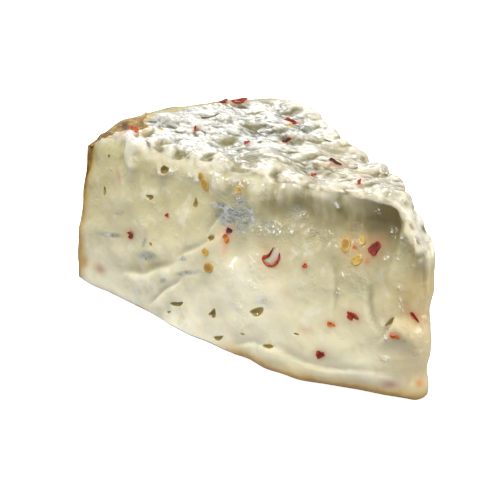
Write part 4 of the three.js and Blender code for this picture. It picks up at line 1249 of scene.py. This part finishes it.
colour = paint(
    tree, tone.body,
    ("#d9d0a6", (broad, 0.4, 0.7, 0, 0.5)),
    ("#c6c4a8", (cloudy, 0.5, 0.72, 0, 0.5)),
    ("#f1ede0", (cloudy, 0.45, 0.3, 0, 0.5)),
    # painted olive shade in wide hollows, and painted highlight on wide ridges
    ("#968a50", (here.hollow_wide, 0.1, 1.6, 0, 0.75), off_holes),
    ("#f4f0e4", (here.hollow_wide, -0.2, -1.4, 0, 0.45), off_holes),
    (paint(tree, tone.cream, (tone.grey, grey_share)), here.on_top, 0.9),
    (tone.white, here.white_top, 0.75),
    (tone.rim, here.rim, 0.9),
    # painted shade in the creases of the smears
    ("#474b42", smear_crease_shade, grey_share, 0.8),
    # painted highlight on the lumps of the rounded top edge
    ("#e6e2d4", here.edge, (near, 0.75, 0.3, 0, 0.3)),
    # painted shade in the dents of the top
    ("#857b48", (here.dent, 0.15, 0.8, 0, 0.85)),
    # painted shade in the grooves of the folds
    ("#8f8350", here.creased, 0.42),
    # under the top edge: paler above the drip line, painted shade below it and near the point
    ("#cfc8b0", here.recess, off_point, (hung, 0, 1, 0.5, 0)),
    ("#76683a", here.recess, wet, (drips, 0.35, 0.62, 1.0, 0.8)),
    # painted glow of light through the point
    ("#dcc083", here.near_point, 0.45),
    ("#9b9b84", (here.mould, 0.08, 0.6, 0, 0.5)),
    (tone.vein, (grown, 0.35, 0.85, 0, 0.8)),
    ("#d0d1d8", (grown, 0.3, 0.6, 0, 0.8), (cloudy, 0.54, 0.62)),
    (tone.rind, (under, 6.0, 1.5, 0, 0.95)),
    # golden olive walls and rims of the holes, and painted shade deeper in them
    ("#a68b2c", (here.hole_near, 0.05, 0.6, 0, 0.9)),
    ("#665014", here.hole_near, (here.hollow_wide, 0.2, 1.1, 0, 0.6)),
    # the chilli's colour in the paste, patches of painted light and shade, and painted shade in the top's
    # holes
    (bled_and_painted_light["Color"], bled_and_painted_light["Alpha"]),
    # painted glints: near-white specks on the grit
    ("#fdfcf6", (here.sparkle, 0.15, 0.7), (grit, 0.55, 0.62, 0, 0.95)),
)

grit_here = add(tree, "Math", product(tree, (axes["Z"], 20 * MM, 50 * MM, 0.4, 1.6), (cloudy, 0.56, 0.66)),
                product(tree, here.sparkle, 3.0))
heights = product(tree, grainy, (here.torn, 0, 1, 0.25, 2.6))
for parts in ((smear_line, here.on_top, 3.0), (grit, grit_here), (from_vein, here.mould, 4.0)):
    heights = add(tree, "Math", heights, product(tree, *parts))
bump = add(tree, "Bump", Height=heights, Distance=0.25 * MM)
dry = product(tree, here.rim, 0.35)  # the rim by the heel is dry
feed(tree, shader, Base_Color=colour, Normal=bump, Coat_Normal=bump,
     Coat_Weight=product(tree, (here.rim, 0.1, 0.8, 1.0, 0.1)),
     Roughness=add(tree, "Math", product(tree, (cloudy, 0.3, 0.7, 0.3, 0.5)), dry))
print("paste:", len(tree.nodes), "nodes")

# %% [markdown]
# ## The rind
#
# The rind is a dry crust of its own, about a millimetre thick, over the heel, the base and the rolled
# shoulder. Painting it on the body would do from afar, but a shell with its own thickness gives the
# ragged edge that a cut rind has. It is made from the body's own faces, pushed out a little. A corner
# past the rind's edge slides back to that edge, so the border has no steps.

# %% Wrap the rind
RIND_PROUD, RIND_THICK = 0.18, 1.0  # mm above the paste, and thickness in all
RIND_REACH = 0.6  # the rind's depth at its edge
LEAST_SHARE = 0.08  # no corner slides so close to its neighbour that the face closes up
depth, hole = read(body, "rind_depth"), read(body, "hole")
vertices = body.data.vertices
ends = np.array([e.vertices[:] for e in body.data.edges])
ends = np.vstack([ends, ends[:, ::-1]])
crossing = ends[(depth[ends[:, 0]] < RIND_REACH) & (depth[ends[:, 1]] >= RIND_REACH)]
crossing = crossing[np.argsort(-depth[crossing[:, 0]])]
partner = {past: within for within, past in crossing.tolist()}  # the shallowest neighbour is written last


def on_edge_line(v):
    """Place and normal for a corner of the rind."""
    if depth[v] < RIND_REACH:
        return (*vertices[v].co, *vertices[v].normal)
    within = partner[v]
    share = max(LEAST_SHARE, (RIND_REACH - depth[within]) / (depth[v] - depth[within]))
    return (*vertices[within].co.lerp(vertices[v].co, share),
            *vertices[within].normal.lerp(vertices[v].normal, share))


keep = []
for face in body.data.polygons:
    if min(depth[v] for v in face.vertices) < RIND_REACH and max(hole[v] for v in face.vertices) < 0.5:
        corners = [v for v in face.vertices if depth[v] < RIND_REACH or v in partner]
        if len(corners) > 2:
            keep.append(corners)
used = sorted({v for corners in keep for v in corners})
renumber = {v: i for i, v in enumerate(used)}
placed = np.array([on_edge_line(v) for v in used])
outer = placed[:, :3] / MM + placed[:, 3:] * RIND_PROUD
outer[:, 2] = np.maximum(outer[:, 2], 0)
rind = new_object("cheese_rind", outer, [[renumber[v] for v in corners] for corners in keep])
store(rind, on_top=(read(body, "on_top") * (1 - read(body, "rim")))[used], lip=read(body, "lip")[used])
shell = rind.modifiers.new("thickness", "SOLIDIFY")
shell.thickness, shell.offset, shell.use_even_offset = RIND_THICK * MM, -1, False
make_plain(rind)
print("rind:", len(rind.data.polygons), "faces")

# %% [markdown]
# The rind is a natural one: it dried in the cellar while moulds and yeasts grew on it. So it is matt,
# golden to dark brown in blotches, with a pale bloom on what stands out and dark pits.

# %% Finish the rind
crust, tree, shader = new_material(
    "natural rind, dry and pitted", Subsurface_Weight=0.12, Subsurface_Scale=1.0 * MM)
place = add(tree, "TexCoord").outputs["Object"]
blotch = add(tree, "TexNoise", place, per(16), 4.0, 0.6)
speck = add(tree, "TexNoise", place, per(2.2), 4.0, 0.7)
streaky = add(tree, "TexNoise", place, per(9), 6.0, 0.72)
pits = add(tree, "TexVoronoi", place, Scale=per(3.4))
on_shoulder, on_lip = facts(tree, "on_top", "lip")
heel_tone = add(tree, "ValToRGB", blotch, stops=[
    (0.32, "#7d5c2e"), (0.44, "#a98545"), (0.56, "#c2a25f"), (0.7, "#d6c594")])
shoulder_tone = add(tree, "ValToRGB", streaky, stops=[
    (0.38, "#3a2210"), (0.46, "#71502a"), (0.54, "#93762e"), (0.6, "#b0924e"), (0.67, "#dcc4a6")])
colour = paint(
    tree, heel_tone,
    (shoulder_tone, on_shoulder),
    ("#b5a88a", on_lip, 0.75),
    ("#644726", (speck, 0.52, 0.72, 0, 0.6)),
    ("#d6c9a0", (speck, 0.42, 0.3, 0, 0.55)),
    ("#4a3520", (pits, 0.16, 0.05, 0, 0.8)),
)
heights = add(tree, "Math", speck, product(tree, (pits, 0.0, 0.25, -0.6, 0.0)))
feed(tree, shader, Base_Color=colour, Normal=add(tree, "Bump", Height=heights, Distance=0.5 * MM),
     Roughness=product(tree, (speck, 0.3, 0.7, 0.55, 0.85)))
rind.data.materials.append(crust)
print("rind's finish:", len(tree.nodes), "nodes")

# %% [markdown]
# ## Chilli flakes
#
# A flake is a torn scrap of dried skin, half a millimetre thick, that has soaked up whey and curled.
# A few shapes are made: an uneven outline, bent, with thickness. One tree then sets a shape on
# each place, turned and stretched to its size. Each place is seated on the finished skin by a ray, so
# no flake floats or drowns.

# %% Seat places on the finished skin
skin_tree = BVHTree.FromPolygons([v.co[:] for v in body.data.vertices],
                                 [f.vertices[:] for f in body.data.polygons])
LOOK_FROM = 8 * MM
TOP_LEAN = Matrix.Rotation(0.25, 3, "X") @ Matrix.Rotation(0.4, 3, "Y")  # the smears prop them up


def seat(where, at, turned, sink, tilt=(0.0, 0.0)):
    """Place and axes on the finished skin, in metres."""
    origin, axes = frame_on(where, at)
    out = axes.col[2]
    hit, *_ = skin_tree.ray_cast(origin * MM + out * LOOK_FROM, -out)
    centre = (hit if hit else origin * MM) - out * sink * MM
    tipped = Matrix.Rotation(tilt[0], 3, "X") @ Matrix.Rotation(tilt[1], 3, "Y")
    if where == "top":
        axes = axes @ TOP_LEAN
    return centre, axes @ Matrix.Rotation(math.radians(turned), 3, "Z") @ tipped


def sow(name, shapes, rows, material):
    """Sets one of several shapes on each seated place, by Geometry Nodes, as one plain mesh."""
    centres, axes, scales, tones = zip(*rows)
    holder = new_object(name, [centre / MM for centre in centres], [])
    store(holder, size=np.array(scales), turned=np.array([a.to_euler() for a in axes]), tone=np.array(tones))
    library = bpy.data.collections.new(name + " shapes")
    for shape in shapes:
        scene.collection.objects.unlink(shape)
        library.objects.link(shape)
    sizes = {"Seed": RANDOM_SEED}
    tree, given = new_tree("sow " + name, sizes)
    parts = add(tree, "CollectionInfo", library, True)
    size, euler = (add(tree, "InputNamedAttribute", label, data_type="FLOAT_VECTOR")
                   for label in ("size", "turned"))
    pick = add(tree, "RandomValue", 0, len(shapes) - 1, Seed=given["Seed"], data_type="INT")
    sown = add(tree, "InstanceOnPoints", given["Geometry"], Instance=parts, Pick_Instance=True,
               Instance_Index=pick, Rotation=add(tree, "EulerToRotation", euler), Scale=size)
    run_tree(holder, tree, sown, material, sizes)
    for shape in shapes:
        bpy.data.objects.remove(shape)
    bpy.data.collections.remove(library)
    return holder


# %% [markdown]
# The scraps: rings of points from the middle outwards, with a wandering outline, bent into a trough and
# curled up at the rim. A Solidify modifier gives each its thickness, and `rim` marks the torn edge,
# which is paler than the skin.

# %% Make the scraps of skin
rng = np.random.default_rng(RANDOM_SEED)
SPOKES, RINGS = 18, 4
SCRAP_RADIUS, SCRAP_THICK = 0.43, 0.14
SCRAP_WANDER = ((2, 0.05), (3, 0.07), (5, 0.04))  # waves round the outline, and how far each goes


def fan(sides):
    """Faces from the first point to the ring after it."""
    return [(0, 1 + k, 1 + (k + 1) % sides) for k in range(sides)]


def bands(first, count, sides):
    """Faces between closed rings that follow one another."""
    return [(a + k, a + sides + k, a + sides + (k + 1) % sides, a + (k + 1) % sides)
            for a in range(first, first + count * sides, sides) for k in range(sides)]


def scrap(index):
    """A torn scrap of skin, one unit long."""
    angles = np.linspace(0, 2 * math.pi, SPOKES, endpoint=False)
    edge = SCRAP_RADIUS + sum(a * np.cos(k * angles + rng.uniform(0, 6)) for k, a in SCRAP_WANDER)
    points, rims = [(0.0, 0.0, 0.0)], [0.0]
    bend, lean = rng.uniform(0.25, 0.75), rng.uniform(0, math.pi)
    for share in np.arange(1, RINGS + 1) / RINGS:
        for angle, far in zip(angles, edge):
            x, y = far * share * math.cos(angle), far * share * math.sin(angle)
            across = x * math.cos(lean) + y * math.sin(lean)
            ripple = 0.05 * math.sin(3 * angle + index) * share**3
            points.append((x, y, bend * across**2 + ripple))
            rims.append(share**4)
    made = new_object(f"scrap_{index}", np.array(points) / MM, fan(SPOKES) + bands(1, RINGS - 1, SPOKES))
    store(made, rim=np.array(rims))
    shell = made.modifiers.new("thickness", "SOLIDIFY")
    shell.thickness, shell.offset = SCRAP_THICK, 0
    make_plain(made)
    return made


# %% [markdown]
# Dried chilli skin is glossy and dark red. Here it is soaked, so its shine is dull, its torn rim is
# lighter, and some flakes have faded to orange.

# %% Finish the skin, and sow the flakes
skin_red, tree, shader = new_material(
    "chilli skin, dried and soaked", Roughness=0.5, Specular_IOR_Level=0.3, Subsurface_Weight=0.35,
    Subsurface_Radius=(1.0, 0.25, 0.12), Subsurface_Scale=0.8 * MM, Coat_Weight=0.18, Coat_Roughness=0.08)
blotch = add(tree, "TexNoise", add(tree, "TexCoord").outputs["Object"], per(1.5), 4.0, 0.65)
tone_here, rim_here = facts(tree, "tone", "rim")
colour = paint(
    tree, add(tree, "ValToRGB", tone_here, stops=[(0.0, "#50120a"), (0.4, "#96200c"), (0.75, "#bf4c14"),
                                                  (1.0, "#dc8a2c")]),
    ("#2a0b05", (blotch, 0.5, 0.62, 0, 0.85)),
    ("#d0532a", (blotch, 0.44, 0.36, 0, 0.6)),
    ("#c4552c", rim_here, (tone_here, 0.0, 0.5, 0.1, 0.6)),
)
feed(tree, shader, Base_Color=colour, Normal=add(tree, "Bump", 0.8, Height=blotch, Distance=0.3 * MM))

FLAKE_THICK = 3.2  # stretches the scraps' thickness and bend, in mm
FLAKE_GROWN = (1.1, 1.15)  # the scraps' outlines are a little short of one unit
FLAKE_TILT = 0.22
FLAKE_SINK = {"front": 0.05, "back": 0.05, "top": -0.5}  # on the top they lie on the smears
flake_rows = []
for where, at, (long, wide), turned, flake_tone in flakes:
    tilt = rng.uniform(-FLAKE_TILT, FLAKE_TILT, 2)
    centre, axes = seat(where, at, turned, FLAKE_SINK[where], tilt)
    size = (long * MM * FLAKE_GROWN[0], wide * MM * FLAKE_GROWN[1], FLAKE_THICK * MM)
    flake_rows.append((centre, axes, size, flake_tone))
chilli_flakes = sow("chilli_flakes", [scrap(i) for i in range(6)], flake_rows, skin_red)
print("flakes:", len(chilli_flakes.data.polygons), "faces")

# %% [markdown]
# ## Chilli seeds
#
# A chilli seed is a flat disc with a thick rim and a blunt beak where it hung on the pod. It is turned
# from a profile whose middle is dished, then drawn out on one side. Its husk is straw yellow, with a
# browner middle, and wet.

# %% Shape a seed
SEED_PROFILE = [(0.0, 0.36), (0.45, 0.34), (0.72, 0.37), (0.88, 0.42), (0.97, 0.28), (1.0, 0.0)]
SEED_SPOKES = 20
BEAK_AT, BEAK_WIDE = 0.6, 0.45


def seed_shape(index):
    """A flat seed, one unit long."""
    angles = np.linspace(0, 2 * math.pi, SEED_SPOKES, endpoint=False)
    beak = 1 + (0.16 + 0.05 * index) * bell(np.angle(np.exp(1j * (angles - BEAK_AT))) / BEAK_WIDE)
    rows = (SEED_PROFILE + [(r, -h) for r, h in SEED_PROFILE[-2::-1]])[1:-1]
    middle = SEED_PROFILE[0][1] / 2
    ring = np.column_stack([beak * np.cos(angles), beak * np.sin(angles)]) / 2
    points = [(0, 0, middle), *((r * a, r * b, h / 2) for r, h in rows for a, b in ring), (0, 0, -middle)]
    rims = [0.0, *(r**3 for r, h in rows for _ in ring), 0.0]
    last = len(points) - 1
    foot = [(last, last - 1 - k, last - 1 - (k + 1) % SEED_SPOKES) for k in range(SEED_SPOKES)]
    made = new_object(f"seed_{index}", np.array(points) / MM,
                      fan(SEED_SPOKES) + bands(1, len(rows) - 1, SEED_SPOKES) + foot)
    store(made, rim=np.array(rims))
    return made


# %% Finish the husk, and sow the seeds
husk, tree, shader = new_material(
    "chilli seed husk", Roughness=0.35, Subsurface_Weight=0.6, Subsurface_Radius=(1.0, 0.6, 0.2),
    Subsurface_Scale=1.0 * MM, Coat_Weight=0.7, Coat_Roughness=0.1)
place = add(tree, "TexCoord").outputs["Object"]
speck = add(tree, "TexNoise", place, per(0.9), 3.0)
shade = add(tree, "TexNoise", place, per(3.2), 2.0)
tone_here, rim_here = facts(tree, "tone", "rim")
colour = paint(
    tree, "#cbaa48",
    ("#b48a32", tone_here),
    ("#9b6a26", (shade, 0.46, 0.62, 0, 0.75)),
    ("#8f5f20", (speck, 0.5, 0.66, 0, 0.7)),
    ("#e0c060", rim_here, 0.6),
)
feed(tree, shader, Base_Color=colour, Normal=add(tree, "Bump", 0.7, Height=speck, Distance=0.15 * MM))

SEED_THICK, SEED_SINK, SEED_TILT = 2.0, 0.1, 0.13
seed_rows = []
for where, at, (long, wide), turned in seeds:
    centre, axes = seat(where, at, turned, SEED_SINK, rng.uniform(-SEED_TILT, SEED_TILT, 2))
    seed_rows.append((centre, axes, (long * MM, wide * MM, SEED_THICK * MM), rng.uniform(0, 1)))
chilli_seeds = sow("chilli_seeds", [seed_shape(i) for i in range(3)], seed_rows, husk)
print("seeds:", len(chilli_seeds.data.polygons), "faces")

# %% [markdown]
# ## The curl
#
# One flake is a slice of the pod that has curled up: a strip of red skin that turns back on itself, with
# pale flesh inside the bend. Two strips are drawn along paths on the face, the skin and the flesh, which
# is soft, wet and lets light through. Each row of a path is a place in millimetres, a share of the
# width, and a tone.

# %% Bend the curl
CURL_SKIN = [
    (0.1, 4.3, 0.4, 0.1), (-0.7, 2.6, 0.5, 0.1), (-1.2, 0.95, 0.9, 0.3), (-2.85, 0.4, 1.4, 0.5),
    (-3.7, -0.1, 1.2, 0.6), (-2.95, -1.3, 0.9, 0.75), (-1.35, -2.2, 0.8, 0.85), (0.4, -2.1, 0.8, 0.8),
    (2.0, -0.95, 0.9, 0.7), (3.1, 0.7, 1.1, 0.85), (3.2, 2.1, 1.1, 0.7), (2.8, 3.2, 0.6, 0.0),
]
CURL_FLESH = [(-1.9, -0.9, 0.5, 0), (-0.3, -1.0, 0.8, 0), (1.0, 0.1, 1.0, 0), (1.7, 1.6, 1.1, 0),
              (1.6, 3.2, 0.9, 0), (1.2, 4.2, 0.4, 0)]
PATH_STEPS, PATH_SOFTENING, TUBE_SIDES = 48, 12, 10
TORN_PALE = 0.3  # how much of the torn rim's tint the curl has


def strip_along(path, half_wide, half_high, lift, lean):
    """Points, faces and tones of a closed strip of oval section along a path, in local millimetres."""
    knots, steps = np.linspace(0, 1, len(path)), np.linspace(0, 1, PATH_STEPS + 1)
    way = np.column_stack([np.interp(steps, knots, column) for column in np.transpose(path)])
    for _ in range(PATH_SOFTENING):
        way[1:-1] = (way[:-2] + 2 * way[1:-1] + way[2:]) / 4
    ends = np.sqrt(np.maximum(1e-3, 1 - (2 * steps - 1) ** 8))  # soft ends
    heading = np.gradient(way[:, :2], axis=0)
    heading /= np.linalg.norm(heading, axis=1)[:, None]
    points = []
    for (x, y, share, _), (tx, ty), end in zip(way, heading, ends):
        for t in 2 * math.pi * np.arange(TUBE_SIDES) / TUBE_SIDES:
            wide, high = half_wide * share * end * math.cos(t), half_high * share * end * math.sin(t)
            away = wide * math.cos(lean) - high * math.sin(lean)
            out = lift + wide * math.sin(lean) + high * math.cos(lean)
            points.append((x + ty * away, y - tx * away, out))
    caps = [tuple(range(TUBE_SIDES)), tuple(range(len(points) - 1, len(points) - 1 - TUBE_SIDES, -1))]
    return np.array(points), bands(0, PATH_STEPS, TUBE_SIDES) + caps, np.repeat(way[:, 3], TUBE_SIDES)


flesh, *_ = new_material("chilli flesh, soaked", Base_Color="#cdb9a6", Roughness=0.3, Subsurface_Weight=0.8,
                         Subsurface_Scale=1.2 * MM, Coat_Weight=0.8)
curl_centre, curl_axes = seat("front", CURL_AT, 0.0, 0.0)
curl_parts = []
for name, material, (points, faces, tones) in (
    ("chilli_curl_skin", skin_red, strip_along(CURL_SKIN, 0.5, 0.5, 0.15, 0.2)),
    ("chilli_curl_flesh", flesh, strip_along(CURL_FLESH, 1.15, 0.4, 0.1, -0.15)),
):
    made = new_object(name, points @ np.array(curl_axes).T + np.array(curl_centre) / MM, faces)
    store(made, rim=TORN_PALE + 0 * tones, tone=tones)
    made.data.materials.append(material)
    curl_parts.append(made)
print("curl:", [len(o.data.polygons) for o in curl_parts])

# %% [markdown]
# ## Hand the pieces over
#
# Every piece rides on the one body and stands for the CAD solid of the wedge, which is hidden.

# %% Hand over
SLOTS = {body: "cheese_paste", rind: "cheese_rind", chilli_flakes: "chilli_skin",
         chilli_seeds: "chilli_seed", curl_parts[0]: "chilli_skin", curl_parts[1]: "chilli_skin"}
SMOOTH_UP_TO = math.radians(50)
for piece, slot in SLOTS.items():
    piece.data.shade_smooth()
    piece.data.set_sharp_from_angle(angle=SMOOTH_UP_TO)
    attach(piece, "root")
    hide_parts(WEDGE_NODE)
    print(piece.name, sum(len(f.vertices) - 2 for f in piece.data.polygons), "triangles")
